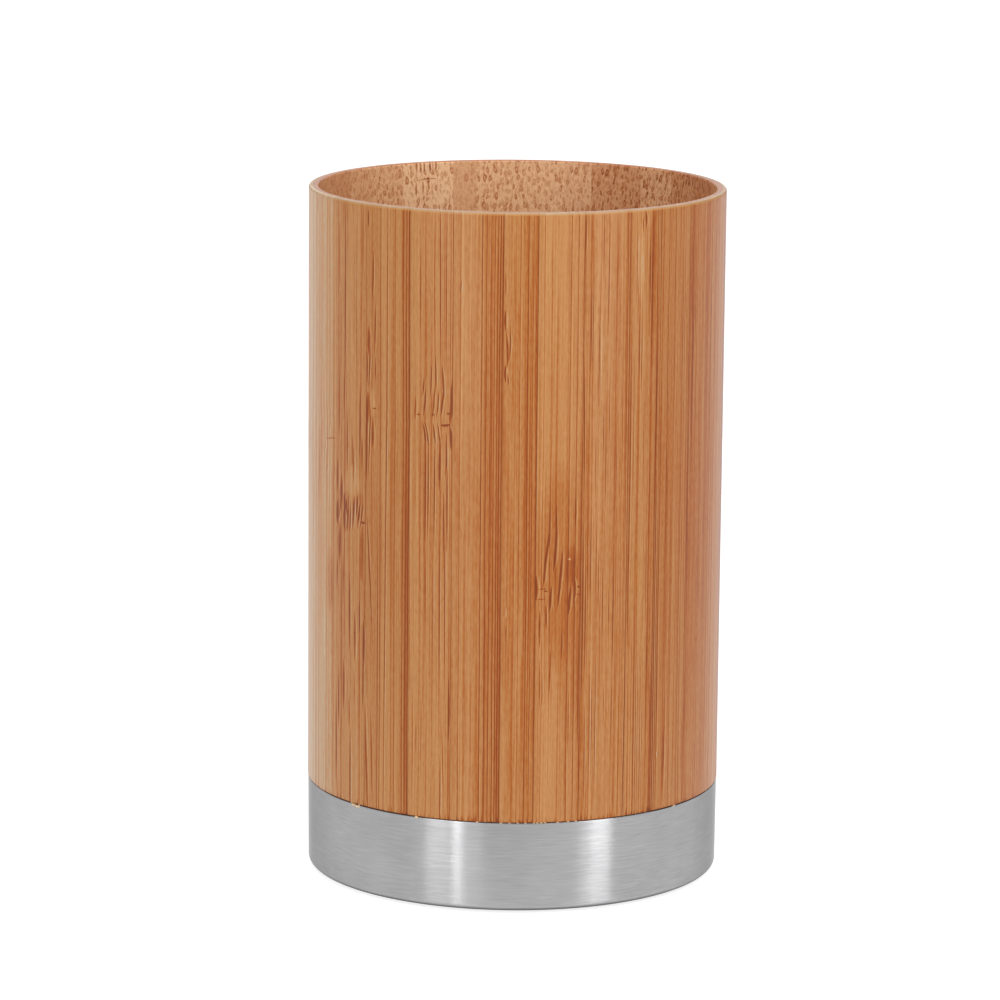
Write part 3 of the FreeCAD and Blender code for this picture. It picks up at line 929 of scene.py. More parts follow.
def slat_tree():
    """A bent bar from a grid, with named sizes."""
    sizes = ("Left Edge", "Sweep", "Inner Radius", "Outer Radius", "Foot", "Rim", "Rim Round", "Knot Height",
             "Seed")
    inputs = dict.fromkeys(sizes, "Float") | {"Finish": "Material"}
    tree, size = start_group("bamboo slat", "GeometryNodeTree", inputs, {"Geometry": "Geometry"})
    grid = add(tree, "GeometryNodeMeshGrid", [LAST_COLUMN, LAST_ROW, LAST_COLUMN + 1, LAST_ROW + 1])
    flat = add(tree, SEPARATE, [add(tree, "GeometryNodeInputPosition")]).outputs
    column = add(tree, PLUS, [flat["X"], LAST_COLUMN / 2])
    row = add(tree, PLUS, [flat["Y"], LAST_ROW / 2])
    out_across = add(tree, MAP_RANGE, [column, 0, FACE_COLUMNS, 0, 1])
    back_across = add(tree, MAP_RANGE, [column, FACE_COLUMNS + 1, LAST_COLUMN - 1, 0, 1])
    across = add(tree, MINUS, [out_across, back_across])
    leave = add(tree, MAP_RANGE, [column, FACE_COLUMNS, FACE_COLUMNS + 1, 1, 0])
    back_out = add(tree, MAP_RANGE, [column, LAST_COLUMN - 1, LAST_COLUMN, 0, 1])
    outward = add(tree, PLUS, [leave, back_out])
    straight = add(tree, MINUS, [size["Rim"], size["Rim Round"]])
    climb = add(tree, MAP_RANGE, [row, 1, WALL_ROWS + 1, size["Foot"], straight])
    bend = add(tree, MAP_RANGE, [row, WALL_ROWS + 1, LAST_ROW - 1, 0, math.pi / 2])
    rise = add(tree, MATH, [bend], operation="SINE")
    height = add(tree, TIMES_PLUS, [rise, size["Rim Round"], climb])
    drawn_in = add(tree, MINUS, [1, add(tree, MATH, [bend], operation="COSINE")])
    drawn_in = add(tree, TIMES, [drawn_in, size["Rim Round"]])
    face = add(tree, MINUS, [size["Outer Radius"], drawn_in])
    off_knot = add(tree, MINUS, [height, size["Knot Height"]])
    off_knot = add(tree, MATH, [off_knot], operation="ABSOLUTE")
    dent = add(tree, MAP_RANGE, [off_knot, 0.0, KNOT_REACH * MM, KNOT_DENT, 0.0],
               interpolation_type="SMOOTHSTEP")
    face = add(tree, MINUS, [face, dent])
    depth = add(tree, MINUS, [face, size["Inner Radius"]])
    foot_lid = add(tree, MAP_RANGE, [row, 0, 1, MIDDLE, 0])
    rim_lid = add(tree, MAP_RANGE, [row, LAST_ROW - 1, LAST_ROW, 0, MIDDLE])
    lid = add(tree, PLUS, [foot_lid, rim_lid])
    side = add(tree, MINUS, [1, add(tree, TIMES, [lid, 2])])
    outward = add(tree, TIMES_PLUS, [outward, side, lid])
    radius = add(tree, TIMES_PLUS, [outward, depth, size["Inner Radius"]])
    angle = add(tree, TIMES_PLUS, [across, size["Sweep"], size["Left Edge"]])
    x = add(tree, TIMES, [radius, add(tree, MATH, [angle], operation="COSINE")])
    y = add(tree, TIMES, [radius, add(tree, MATH, [angle], operation="SINE")])
    place = add(tree, COMBINE, [x, y, height])
    mapped = add(tree, "GeometryNodeStoreNamedAttribute", data_type="FLOAT2", domain="CORNER", inputs={
        "Geometry": grid, "Name": "OFBake", "Value": grid.outputs["UV Map"]})
    girth = add(tree, TIMES, [size["Sweep"], size["Outer Radius"]])
    grain = add(tree, COMBINE, [add(tree, TIMES, [across, girth]), size["Seed"], height])
    grain = add(tree, STRETCH, [grain, (1 / MM, 1, 1 / MM)])
    grained = add(tree, "GeometryNodeStoreNamedAttribute", data_type="FLOAT_VECTOR", domain="POINT", inputs={
        "Geometry": mapped, "Name": "grain", "Value": grain})
    bent = add(tree, "GeometryNodeSetPosition", {"Geometry": grained, "Position": place})
    closed = add(tree, "GeometryNodeMergeByDistance", {"Geometry": bent, "Distance": MERGE_DISTANCE})
    smooth = add(tree, "GeometryNodeSetShadeSmooth", {"Geometry": closed})
    real = add(tree, "GeometryNodeRealizeInstances", {"Geometry": smooth})
    finished = add(tree, "GeometryNodeSetMaterial", {"Geometry": real, "Material": size["Finish"]})
    add(tree, "NodeGroupOutput", [finished])
    return tree


SLAT_TREE = slat_tree()
print("slat tree:", len(SLAT_TREE.nodes), "nodes")

# %% [markdown]
# ## Growing the tree into plain meshes
# A modifier runs the tree on an empty mesh. Its inputs go by the sockets' identifiers. It could stay live,
# but an export needs plain meshes, so the evaluated result is copied into one and the modifier goes. Edges
# sharper than a set angle stay crisp.

# %% Run a tree
CRISP_ANGLE = math.radians(35)


def grow(name, tree, values):
    """Runs a Geometry Nodes tree with named values and returns the piece as a plain mesh."""
    piece = show(name, bpy.data.meshes.new(name))
    modifier = piece.modifiers.new("grow", "NODES")
    modifier.node_group = tree
    sockets = [item for item in tree.interface.items_tree if item.in_out == "INPUT"]
    identifiers = {item.name: item.identifier for item in sockets}
    for socket, value in values.items():
        modifier[identifiers[socket]] = value
    depsgraph = bpy.context.evaluated_depsgraph_get()
    mesh = bpy.data.meshes.new_from_object(piece.evaluated_get(depsgraph))
    piece.modifiers.clear()
    piece.data = mesh
    mesh.name = name
    mesh.set_sharp_from_angle(angle=CRISP_ANGLE)
    return piece


def turn_outward(mesh):
    """Flips a closed mesh whose faces point inwards, and returns its volume."""
    shape = bmesh.new()
    shape.from_mesh(mesh)
    volume = shape.calc_volume(signed=True)
    if volume < 0:
        bmesh.ops.reverse_faces(shape, faces=shape.faces)
        shape.to_mesh(mesh)
    shape.free()
    return abs(volume)


print("edges stay crisp from", round(math.degrees(CRISP_ANGLE)), "degrees")

# %% [markdown]
# ## Setting the slats round the tube
# Slats are glued edge to edge round the lining. Each CAD slat says where its piece stands: its edges as
# angles about the axis and its two radii are read from its mesh. Each piece gets its recipe and a seed of
# its own, so no two slats share a pattern, and it stands for its CAD slat.

# %% Make the slats
RIM_ROUND = 0.4 * MM
SEED_STEP = 7.3


def slat_span(node):
    """A CAD slat's left edge and sweep as angles, and its radii."""
    points = [v.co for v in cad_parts[node].data.vertices]
    middle = sum((p.xy for p in points), Vector((0, 0)))
    middle = math.atan2(middle.y, middle.x)
    angles = [(math.atan2(p.y, p.x) - middle + math.pi) % (2 * math.pi) - math.pi for p in points]
    radii = [p.xy.length for p in points]
    return middle + min(angles), max(angles) - min(angles), min(radii), max(radii)


recipes = dict(enumerate(FRONT_SLATS, start=1)) | {len(slat_nodes): LAST_SLAT}
slat_volume = 0.0
for number, node in enumerate(slat_nodes, start=1):
    left_edge, sweep, inner_radius, outer_radius = slat_span(node)
    width = sweep * outer_radius / MM
    recipe = recipes[number] if number in recipes else grown_slat(width)
    finish = bamboo_material(f"carbonised bamboo slat {number:02d}", BAMBOO_TONES,
                             lambda tree: slat_tone(tree, recipe, width, SEED_STEP * number))
    piece = grow(f"bamboo_slat_{number:02d}", SLAT_TREE, {
        "Left Edge": left_edge,
        "Sweep": sweep,
        "Inner Radius": inner_radius,
        "Outer Radius": outer_radius,
        "Foot": slat_foot * MM,
        "Rim": slat_rim * MM,
        "Rim Round": RIM_ROUND,
        "Knot Height": recipe.knot.height * MM,
        "Seed": SEED_STEP * number,
        "Finish": finish,
    })
    slat_volume += turn_outward(piece.data)
    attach(piece, "root")
    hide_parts(node)
print("slats:", len(slat_nodes), "of", round(slat_volume / MM**3), "mm3, last with",
      len(piece.data.polygons), "faces")

# %% [markdown]
# ## Turned pieces
# The lining, the floor, the steel cup and the foot pad are all round, so one function turns a half section
# about the axis. A Screw modifier could do it, but this function also rounds the corners and can leave a
# butt seam. A section lists its corners as radius, height and round, in millimetres. Many columns keep the
# brushed steel free of facets, and corners that lie on the axis are merged into one point. The steel wall
# is one face high, so its shading leans a little towards the rounds at its ends. Rounds of many small steps
# keep that lean out of sight.

# %% Turning
TURN_COLUMNS = 288
ROUND_STEPS = 12


def rounded_section(corners):
    """The points of a closed half section, with an arc at each corner that has a round."""
    points = []
    for index, (radius, height, size) in enumerate(corners):
        corner = Vector((radius, height))
        if not size:
            points.append(corner)
            continue
        before = Vector(corners[index - 1][:2])
        after = Vector(corners[(index + 1) % len(corners)][:2])
        back_way = (before - corner).normalized()
        ahead = (after - corner).normalized()
        half_angle = back_way.angle(ahead) / 2
        centre = corner + (back_way + ahead).normalized() * (size / math.sin(half_angle))
        arm_start = corner + back_way * (size / math.tan(half_angle)) - centre
        arm_end = corner + ahead * (size / math.tan(half_angle)) - centre
        points += [centre + arm_start.slerp(arm_end, step / ROUND_STEPS).normalized() * size
                   for step in range(ROUND_STEPS + 1)]
    return points


def turned(name, corners, start=0.0, sweep=2 * math.pi):
    """A piece turned about the axis, whole or with a butt seam where the sweep is less than a turn."""
    section = rounded_section(corners)
    whole = sweep >= 2 * math.pi
    count = TURN_COLUMNS if whole else TURN_COLUMNS + 1
    shape = bmesh.new()
    columns = []
    for number in range(count):
        angle = start + sweep * number / TURN_COLUMNS
        columns.append([shape.verts.new((p.x * MM * math.cos(angle), p.x * MM * math.sin(angle), p.y * MM))
                        for p in section])
    for number in range(TURN_COLUMNS):
        here, there = columns[number], columns[(number + 1) % count]
        for index in range(len(section)):
            after = (index + 1) % len(section)
            shape.faces.new((here[index], there[index], there[after], here[after]))
    if not whole:
        shape.faces.new(columns[0])
        shape.faces.new(list(reversed(columns[-1])))
    bmesh.ops.remove_doubles(shape, verts=shape.verts, dist=MERGE_DISTANCE)
    bmesh.ops.recalc_face_normals(shape, faces=shape.faces)
    for face in shape.faces:
        face.smooth = True
    mesh = bpy.data.meshes.new(name)
    shape.to_mesh(mesh)
    shape.free()
    mesh.set_sharp_from_angle(angle=CRISP_ANGLE)
    return show(name, mesh)


def stand_for(piece, node, material):
    """Gives a finished piece its material in a slot and its body, and hides the CAD node it replaces."""
    piece.data.materials.append(material)
    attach(piece, "root")
    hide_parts(node)
    print(piece.name, "faces:", len(piece.data.polygons))


def reach(node):
    """A CAD node's least and largest radius, foot and top, in millimetres."""
    points = [v.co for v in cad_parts[node].data.vertices]
    radii = [p.xy.length / MM for p in points]
    heights = [p.z / MM for p in points]
    return min(radii), max(radii), min(heights), max(heights)


print("a turn has", TURN_COLUMNS, "columns, a round", ROUND_STEPS, "steps")

# %% [markdown]
# ## The steel cup
# The cup is drawn from one sheet of stainless steel and brushed while it spins, so the scratches run round
# it. Light spreads across such scratches and stays narrow along them, which turns a lamp into an upright
# band. Plain roughness would spread it evenly, so the shader has strong anisotropy, turned a quarter from
# the tangent round the axis. The scratches themselves are noise drawn out round the cup. Real ones are near
# 0.03 mm apart, too fine to show, so they are drawn wider. The foot of the wall, where the corner turns
# under, is painted dark: a painted shade for the dark gap under the cup, which that round reflects.

# %% Brushed steel
STEEL_ROUGHNESS = 0.25
QUARTER_TURN = 0.25
STEEL_TINT = linear("#C8C8C8")
STEEL_TONES = [(0.3, linear("#9D9D9E")), (0.7, linear("#ADADAE"))]
# Painted shade: the colour at the wall's foot, and the heights over which the steel turns to it
PAINTED_FOOT_SHADE = linear("#3C3C3C")
FOOT_SHADE_LOW, FOOT_SHADE_HIGH = 0.5 * MM, 1.1 * MM
# A scratch's length and height, and the width of the clouds between, in millimetres
SCRATCH = (3.6, 0.20)
STEEL_CLOUD = 6.0
SCRATCH_SHARE, CLOUD_SHARE = 0.6, 0.4
SCRATCH_DEPTH = 0.014 * MM


def brushed_steel():
    """Stainless steel, brushed round: grey, with fine level streaks and upright bands of light."""
    material, tree, shader = start_material("stainless steel, brushed", {
        "Metallic": 1.0,
        "Roughness": STEEL_ROUGHNESS,
        "Anisotropic": 1.0,
        "Anisotropic Rotation": QUARTER_TURN,
        "Specular Tint": STEEL_TINT,
    })
    tangent = add(tree, "ShaderNodeTangent", direction_type="RADIAL", axis="Z")
    place = add(tree, "ShaderNodeTexCoord").outputs["Object"]
    drawn = (1 / SCRATCH[0] / MM, 1 / SCRATCH[0] / MM, 1 / SCRATCH[1] / MM)
    drawn = add(tree, STRETCH, [place, drawn])
    streaks = add(tree, NOISE, {"Vector": drawn, "Scale": 1.0, "Detail": 2.0}).outputs[0]
    cloud = add(tree, NOISE, {"Vector": place, "Scale": 1 / STEEL_CLOUD / MM, "Detail": 2.0}).outputs[0]
    mix = add(tree, TIMES, [streaks, SCRATCH_SHARE])
    mix = add(tree, TIMES_PLUS, [cloud, CLOUD_SHARE, mix])
    colour = add(tree, RAMP, [mix], stops=STEEL_TONES)
    height = add(tree, SEPARATE, [place]).outputs["Z"]
    # A painted shade on the round at the foot, for the dark gap under the cup that it reflects
    foot_shade = add(tree, MAP_RANGE, [height, FOOT_SHADE_LOW, FOOT_SHADE_HIGH, 1.0, 0.0])
    colour = add(tree, "ShaderNodeMix", {"Factor": foot_shade, "A": colour, "B": PAINTED_FOOT_SHADE}, data_type="RGBA")
    bump = add(tree, "ShaderNodeBump", {"Height": streaks, "Distance": SCRATCH_DEPTH, "Strength": 1.0})
    feed(tree, shader, {"Tangent": tangent, "Base Color": colour, "Normal": bump})
    return material


STEEL = brushed_steel()
print("brushed steel:", len(STEEL.node_tree.nodes), "nodes")

# %% [markdown]
# ## The cup's section
# The sheet is pressed to a low cup whose wall leans in a little towards the foot. Its floor is raised over
# a recess, which leaves a ring to stand on, and its lip is rounded on both sides. A solid plug would look
# the same from the front, but the cup is seen from below too, so it is made as a sheet. The outer sizes are
# read from the CAD cup, and the sheet, the rounds and the recess are given here.

# %% Steel cup
CUP_SHEET = 0.5
CUP_LEAN = 0.08
CUP_CORNER = 0.9
CUP_LIP_ROUND = 0.15
STAND_RING = 4.0
RECESS_DEPTH = 0.8
RECESS_SLOPE = 0.8
_, lip_radius, stand_height, lip_height = reach("base_cup")
cup_foot_radius = lip_radius - CUP_LEAN
recess_mouth = cup_foot_radius - CUP_CORNER - STAND_RING
recess_radius = recess_mouth - RECESS_SLOPE
sheet_shift = CUP_SHEET * math.tan(math.atan2(RECESS_DEPTH, RECESS_SLOPE) / 2)
steel_cup = turned("steel_cup", [
    (0, stand_height + RECESS_DEPTH, 0),
    (recess_radius, stand_height + RECESS_DEPTH, 0),
    (recess_mouth, stand_height, 0),
    (cup_foot_radius, stand_height, CUP_CORNER),
    (lip_radius, lip_height, CUP_LIP_ROUND),
    (lip_radius - CUP_SHEET, lip_height, CUP_LIP_ROUND),
    (cup_foot_radius - CUP_SHEET, stand_height + CUP_SHEET, CUP_CORNER - CUP_SHEET),
    (recess_mouth + sheet_shift, stand_height + CUP_SHEET, 0),
    (recess_radius + sheet_shift, stand_height + CUP_SHEET + RECESS_DEPTH, 0),
    (0, stand_height + CUP_SHEET + RECESS_DEPTH, 0),
])
stand_for(steel_cup, "base_cup", STEEL)

# %% [markdown]
# ## The lining
# The inner ply is bamboo too, but shaved at a slant to the fibres, so each fibre bundle is cut across and
# shows as a small oval with a dark ring. It is made of strips as well. Each has its first edge, as an angle
# from the back, then its tone, its crowd of ovals, its slant and the ovals' strength. The strips on the far
# wall are set one by one, and the others are drawn by chance.

# %% Lining recipe
LINING_TONES = [
    (0.00, linear("#F0CBA0")),
    (0.30, linear("#D6A378")),
    (0.60, linear("#BB764A")),
    (1.00, linear("#7E4826")),
]
LINING_STRIPS = [
    (-76, 0.38, 0.90, 0.45, 0.5), (-60, 0.27, 0.95, 0.45, 0.5), (-48, 0.22, 0.95, 0.50, 0.7),
    (-37, 0.10, 0.60, 0.60, 0.9), (-20, 0.27, 0.50, 0.50, 0.4), (-14, 0.16, 0.95, 0.50, 0.8),
    (0, 0.16, 0.95, 0.50, 0.7), (13, 0.21, 0.90, 0.50, 0.7), (22, 0.36, 0.90, 0.45, 0.85),
    (39, 0.23, 0.95, 0.35, 1.0), (51, 0.40, 0.90, 0.40, 1.0), (64, 0.46, 0.90, 0.40, 0.7),
]
# The strips drawn by chance: their first edges and the ranges of their four values
NEAR_STRIP_DEG = 13
NEAR_STRIPS = [*range(-177, -80, NEAR_STRIP_DEG), *range(80, 180, NEAR_STRIP_DEG)]
NEAR_RANGES = [(0.18, 0.50), (0.6, 0.95), (0.35, 0.65), (0.4, 0.9)]
LINING_SEED = 17
lining_chance = random.Random(LINING_SEED)
for start_deg in NEAR_STRIPS:
    LINING_STRIPS.append((start_deg, *[lining_chance.uniform(*span) for span in NEAR_RANGES]))
LINING_STRIPS.sort()
LINING_MARKS = [mark(across, 108.2, 110.6, 0.22, 0.50) for across in (-17.4, -16.7, -16.0, -15.0, -13.9)]
LINING_MARKS += [
    tick(107.0, -17.4, -13.5, 0.16, 0.40, rise=0.2, bow=0.2),
    mark(-17.5, 104.6, 107.0, 0.22, 0.40),
    mark(-16.2, 104.6, 107.0, 0.26, 0.36),
    mark(-15.2, 105.0, 107.2, 0.24, 0.36),
]
bore_radius, lining_radius, lining_foot, lining_rim = reach("inner_sleeve")
print("lining strips:", len(LINING_STRIPS), "on a bore of radius", round(bore_radius, 2), "mm")

# %% [markdown]
# ## The lining's finish
# A stepped ramp round the bore holds the strips: tone, crowd and slant in its red, green and blue, the
# ovals' strength in its alpha. Noise has no closed ovals, so cells of a Voronoi pattern, stretched upright
# and leaning with the strip, carry one each: large ones first, small ones between. A few single marks lie
# on top, and the top edge of the bore is darker, a painted shade line along the rim.

# %% Lining finish
# In millimetres: the cell of the wobble and how far it goes, and a fleck's width and length
WOBBLE_CELL = 2.0
WOBBLE = (0.9, 0.9, 0.0)
FLECK = (5 / 17, 5 / 8)
FLECK_STEP = 0.46
# The cell of an oval and its half sizes, both in millimetres, and its darkest step in tone
OVAL_LAYERS = [((0.92, 1.50), (0.30, 0.66), 0.66), ((0.52, 1.00), (0.15, 0.38), 0.46)]
OVAL_SCATTER = 0.8
OVAL_SHRINK = (0.8, 1.4)
OVAL_EDGE = (0.62, 1.0, 1.0, 0.0)
OVAL_HEART = (0.15, 0.6, 0.75, 0.0)
FAINTEST_OVAL = 0.3
LINING_RIM_SHADE_TONE = 0.85
LINING_RIM_START, LINING_RIM_FULL = 0.15, 0.02


def lining_tone(tree):
    """The tone and the grooves of the bias-cut lining, in millimetres round the bore and up."""
    place = add(tree, SEPARATE, [add(tree, "ShaderNodeTexCoord").outputs["Object"]]).outputs
    angle = add(tree, MATH, [place["X"], place["Y"]], operation="ARCTAN2")
    share = add(tree, TIMES_PLUS, [angle, 1 / (2 * math.pi), 0.5])
    stops = [(0.5 + start_deg / 360, tuple(values)) for start_deg, *values in LINING_STRIPS]
    strips = add(tree, RAMP, [share], stops=stops)
    strips.color_ramp.interpolation = "CONSTANT"
    strip = add(tree, "ShaderNodeSeparateColor", [strips.outputs["Color"]]).outputs
    across = add(tree, TIMES, [angle, bore_radius])
    height = add(tree, TIMES, [place["Z"], 1 / MM])
    slant = add(tree, MINUS, [strip["Blue"], MIDDLE])
    leaning = add(tree, TIMES_PLUS, [slant, height, across])
    flat = add(tree, COMBINE, [leaning, height, 0.0])
    wobble = add(tree, NOISE, {"Vector": flat, "Scale": 1 / WOBBLE_CELL, "Detail": 1.0}).outputs["Color"]
    wobble = add(tree, STRETCH, [wobble, WOBBLE])
    flat = add(tree, VECTOR_MATH, [flat, wobble], operation="ADD")
    upright = add(tree, STRETCH, [flat, (1 / FLECK[0], 1 / FLECK[1], 0.0)])
    fleck = add(tree, NOISE, {"Vector": upright, "Scale": 1.0, "Detail": 2.0}).outputs[0]
    fleck = add(tree, MINUS, [fleck, MIDDLE])
    plain = add(tree, TIMES_PLUS, [fleck, FLECK_STEP, strip["Red"]])
    tone = plain
    for cell, half, darkest in OVAL_LAYERS:
        cells = add(tree, STRETCH, [flat, (1 / cell[0], 1 / cell[1], 0.0)])
        voronoi = add(tree, "ShaderNodeTexVoronoi", voronoi_dimensions="2D", inputs={
            "Vector": cells, "Scale": 1.0, "Randomness": OVAL_SCATTER}).outputs
        offset = add(tree, VECTOR_MATH, [cells, voronoi["Position"]], operation="SUBTRACT")
        stretch = (cell[0] / half[0], cell[1] / half[1], 0.0)
        offset = add(tree, STRETCH, [offset, stretch])
        off = add(tree, VECTOR_MATH, [offset], operation="LENGTH").outputs["Value"]
        lot = add(tree, "ShaderNodeSeparateColor", [voronoi["Color"]]).outputs
        shrink = add(tree, MAP_RANGE, [lot["Blue"], 0.0, 1.0, *OVAL_SHRINK])
        off = add(tree, TIMES, [off, shrink])
        oval = add(tree, MAP_RANGE, [off, *OVAL_EDGE])
        heart = add(tree, MAP_RANGE, [off, *OVAL_HEART])
        ring = add(tree, MINUS, [oval, heart])
        there = add(tree, MATH, [lot["Red"], strip["Green"]], operation="LESS_THAN")
        ring = add(tree, TIMES, [ring, there])
        ring = add(tree, TIMES, [ring, strips.outputs["Alpha"]])
        depth = add(tree, MAP_RANGE, [lot["Green"], 0.0, 1.0, FAINTEST_OVAL * darkest, darkest])
        tone = add(tree, TIMES_PLUS, [ring, depth, tone])
    tone = draw_marks(tree, tone, across, height, LINING_MARKS)
    groove = add(tree, MINUS, [tone, plain])
    # The bore's top edge turns darker: a painted shade line along the rim
    rim_heights = [lining_rim - LINING_RIM_START, lining_rim - LINING_RIM_FULL]
    rim = add(tree, MAP_RANGE, [height, *rim_heights, 0.0, RIM_SHARE])
    browner = add(tree, MINUS, [LINING_RIM_SHADE_TONE, tone])
    return add(tree, TIMES_PLUS, [browner, rim, tone]), groove


LINING_BAMBOO = bamboo_material("bias-cut bamboo lining", LINING_TONES, lining_tone)
print("lining finish:", len(LINING_BAMBOO.node_tree.nodes), "nodes")

# %% [markdown]
# ## The lining's section
# The ply is rolled into a tube and butted at the front, which leaves a fine seam, so the section is turned
# a little less than once round. Its foot is turned down to a spigot with a lead-in, so that it slips into
# the steel cup, and its bore is rounded at the rim.

# %% Lining
SPIGOT_CLEARANCE = 0.05
LEAD_IN = 0.6
BORE_ROUND = 0.3
SEAM_WIDTH = 0.15
spigot_radius = cup_foot_radius - CUP_SHEET - SPIGOT_CLEARANCE
seam = SEAM_WIDTH / bore_radius
lining = turned("bamboo_lining", [
    (bore_radius, lining_foot, 0),
    (spigot_radius - LEAD_IN, lining_foot, 0),
    (spigot_radius, lining_foot + LEAD_IN, 0),
    (spigot_radius, slat_foot, 0),
    (lining_radius, slat_foot, 0),
    (lining_radius, lining_rim, 0),
    (bore_radius, lining_rim, BORE_ROUND),
], start=-math.pi / 2 + seam / 2, sweep=2 * math.pi - seam)
stand_for(lining, "inner_sleeve", LINING_BAMBOO)

# %% [markdown]
# ## The floor board
# A round board closes the tube. Such boards are bamboo sticks glued side by side, so the slats' fibre group
# serves again, laid flat: across is one way over the board, height the other, and the tone steps at each
# stick.

# %% Floor board
STICK_WIDTH = 19.0
STICK_TONES = (0.28, 0.46)
BOARD_STEPS = {"Fine": 0.2, "Broad": 0.16, "Lines": 0.18, "Dashes": 0.12}
BOARD_LEVEL = 0.18
BOARD_CHAMFER = 0.4


def board_tone(tree):
    """The tone and the grooves of the board, with a step at each stick."""
    place = add(tree, SEPARATE, [add(tree, "ShaderNodeTexCoord").outputs["Object"]]).outputs
    across = add(tree, TIMES, [place["Y"], 1 / MM])
    along = add(tree, TIMES, [place["X"], 1 / MM])
    stick = add(tree, MATH, [add(tree, OVER, [across, STICK_WIDTH])], operation="FLOOR")
    lot = add(tree, "ShaderNodeTexWhiteNoise", {"W": stick}, noise_dimensions="1D").outputs["Value"]
    seed = add(tree, TIMES, [stick, SEED_STEP])
    grain = add(tree, COMBINE, [across, seed, along])
    fibres = add(tree, "ShaderNodeGroup", node_tree=FIBRES, inputs={
        "Grain": grain, "Seed": seed, "Knot Height": NO_KNOT.height, "Knot Curl": NO_KNOT.curl}).outputs
    tone = add(tree, MAP_RANGE, [lot, 0.0, 1.0, *STICK_TONES])
    for texture, step in BOARD_STEPS.items():
        tone = add(tree, TIMES_PLUS, [fibres[texture], step, tone])
    return add(tree, MINUS, [tone, BOARD_LEVEL]), fibres["Lines"]


_, board_radius, board_foot, board_top = reach("floor_board")
board = turned("bamboo_floor", [
    (0, board_foot, 0),
    (board_radius, board_foot, 0),
    (board_radius, board_top - BOARD_CHAMFER, 0),
    (board_radius - BOARD_CHAMFER, board_top, 0),
    (0, board_top, 0),
])
stick_board = bamboo_material("bamboo stick board", BAMBOO_TONES, board_tone)
stand_for(board, "floor_board", stick_board)

# %% [markdown]
# ## The foot pad
# A disc of closed-cell foam rubber stops the steel from scratching the shelf. It is matt and nearly black,
# and its skin shows small pits where the cells were cut. The pits could be noise, but a Voronoi pattern has
# a cell for each, and it serves the colour and the bump alike: the colour is darker where the skin dips, a
# painted shade in each pit. The pad's lower edge is pressed round.

# %% Foot pad
FOAM_ROUGHNESS = 0.9
FOAM_GLOSS = 0.3
FOAM_TONES = [(0.1, linear("#19191A")), (0.6, linear("#2E2E30"))]
FOAM_CELL = 0.7
FOAM_PIT = 0.08 * MM
PIT_STRENGTH = 0.7
PAD_EDGE = 0.3


def foam_rubber():
    """Closed-cell foam rubber: nearly black, matt, with fine pits, each with a painted shade."""
    material, tree, shader = start_material("closed-cell foam rubber", {
        "Roughness": FOAM_ROUGHNESS, "Specular IOR Level": FOAM_GLOSS})
    place = add(tree, "ShaderNodeTexCoord").outputs["Object"]
    cells = add(tree, "ShaderNodeTexVoronoi", {"Vector": place, "Scale": 1 / FOAM_CELL / MM})
    pits = cells.outputs["Distance"]
    # Darker where the skin dips: a painted shade in each pit
    colour = add(tree, RAMP, [pits], stops=FOAM_TONES)
    bump = add(tree, "ShaderNodeBump", {"Height": pits, "Distance": FOAM_PIT, "Strength": PIT_STRENGTH})
    feed(tree, shader, {"Base Color": colour, "Normal": bump})
    return material


_, pad_radius, pad_foot, pad_top = reach("foot_pad")
pad = turned("foam_pad", [
    (0, pad_foot, 0),
    (pad_radius, pad_foot, PAD_EDGE),
    (pad_radius, pad_top, 0),
    (0, pad_top, 0),
])
stand_for(pad, "foot_pad", foam_rubber())

# %% [markdown]
# ## Fibre ends in the joint
# Where the slats were trimmed, splinters were left in the narrow gap above the steel lip: a curled one at
# the left, a row of small ones at the front, single ones elsewhere. They break the dark line of the joint.
# Noise on the slats' edge would fray all of it, so each is set by itself, a small flat grain given by its
# angle from the front, its height, its half length and half height and its tilt. They lie between the lip
# and the face of the slats, so nothing sticks out.

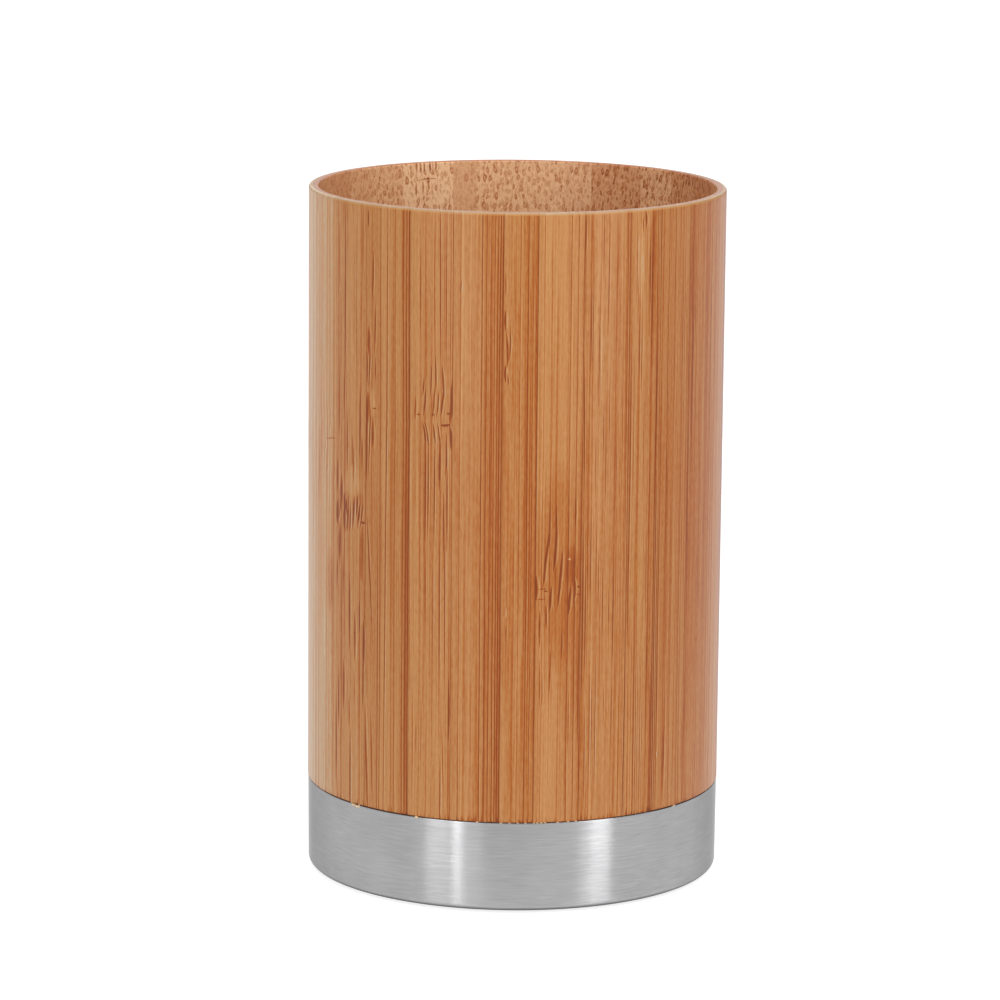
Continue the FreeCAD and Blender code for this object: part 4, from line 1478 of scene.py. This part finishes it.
# %% Joint splinters
JOINT_HEIGHT = 14.68
SPLINTERS = [
    (-50.2, 14.85, 0.35, 0.20, 0.7), (-49.2, 14.42, 0.55, 0.20, -0.25), (-47.9, 14.32, 0.50, 0.18, 0.1),
    (-46.8, 14.60, 0.20, 0.42, 0.2), (-47.5, 15.00, 0.45, 0.16, 0.25), (-48.9, 14.95, 0.30, 0.13, -0.4),
    (-26.8, 14.54, 0.32, 0.20, 0.3), (-9.4, JOINT_HEIGHT, 0.20, 0.13, 0.0), (50.8, 14.60, 0.42, 0.13, -0.2),
]
FRONT_ROW = (-2.9, -0.6, 1.6, 3.7, 6.0, 6.9, 8.0, 9.0, 12.5, 15.4, 17.6)
FRONT_SIZE = (0.20, 0.11)
SPLINTERS += [(deg, JOINT_HEIGHT, *FRONT_SIZE, 0.0) for deg in FRONT_ROW]
SPLINTER_SEED = 5
BACK_ROW = range(85, 275, 5)
BACK_SHIFT = 2
BACK_LENGTHS = (0.1, 0.3)
BACK_HEIGHT = 0.10
splinter_chance = random.Random(SPLINTER_SEED)
for deg in BACK_ROW:
    shifted = deg + splinter_chance.uniform(-BACK_SHIFT, BACK_SHIFT)
    SPLINTERS.append((shifted, JOINT_HEIGHT, splinter_chance.uniform(*BACK_LENGTHS), BACK_HEIGHT, 0.0))
SPLINTER_THICK = 0.07
MOTTLE_SIZE = 0.5 * MM
MOTTLE_STEP, MOTTLE_LEVEL = 0.4, -0.16


def splinter_tone(tree):
    """Pale bare fibre with a little mottling."""
    place = add(tree, "ShaderNodeTexCoord").outputs["Object"]
    mottle = add(tree, NOISE, {"Vector": place, "Scale": 1 / MOTTLE_SIZE, "Detail": 1.0}).outputs[0]
    return add(tree, TIMES_PLUS, [mottle, MOTTLE_STEP, MOTTLE_LEVEL]), mottle


splinter_radius = outer_radius - SPLINTER_THICK * MM
heap = bmesh.new()
for deg, height, half_length, half_height, tilt in SPLINTERS:
    stand = Matrix.Rotation(math.radians(deg), 4, "Z")
    stand = stand @ Matrix.Translation((0, -splinter_radius, height * MM)) @ Matrix.Rotation(tilt, 4, "Y")
    size = Matrix.Diagonal((half_length * MM, SPLINTER_THICK * MM, half_height * MM, 1.0))
    bmesh.ops.create_icosphere(heap, subdivisions=2, radius=1.0, matrix=stand @ size)
for face in heap.faces:
    face.smooth = True
splinter_mesh = bpy.data.meshes.new("joint_splinters")
heap.to_mesh(splinter_mesh)
heap.free()
splinters = show("joint_splinters", splinter_mesh)
splinter_mesh.materials.append(bamboo_material("bare bamboo fibre", BAMBOO_TONES, splinter_tone))
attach(splinters, "root")
print("joint splinters:", len(SPLINTERS), "with", len(splinter_mesh.polygons), "faces")
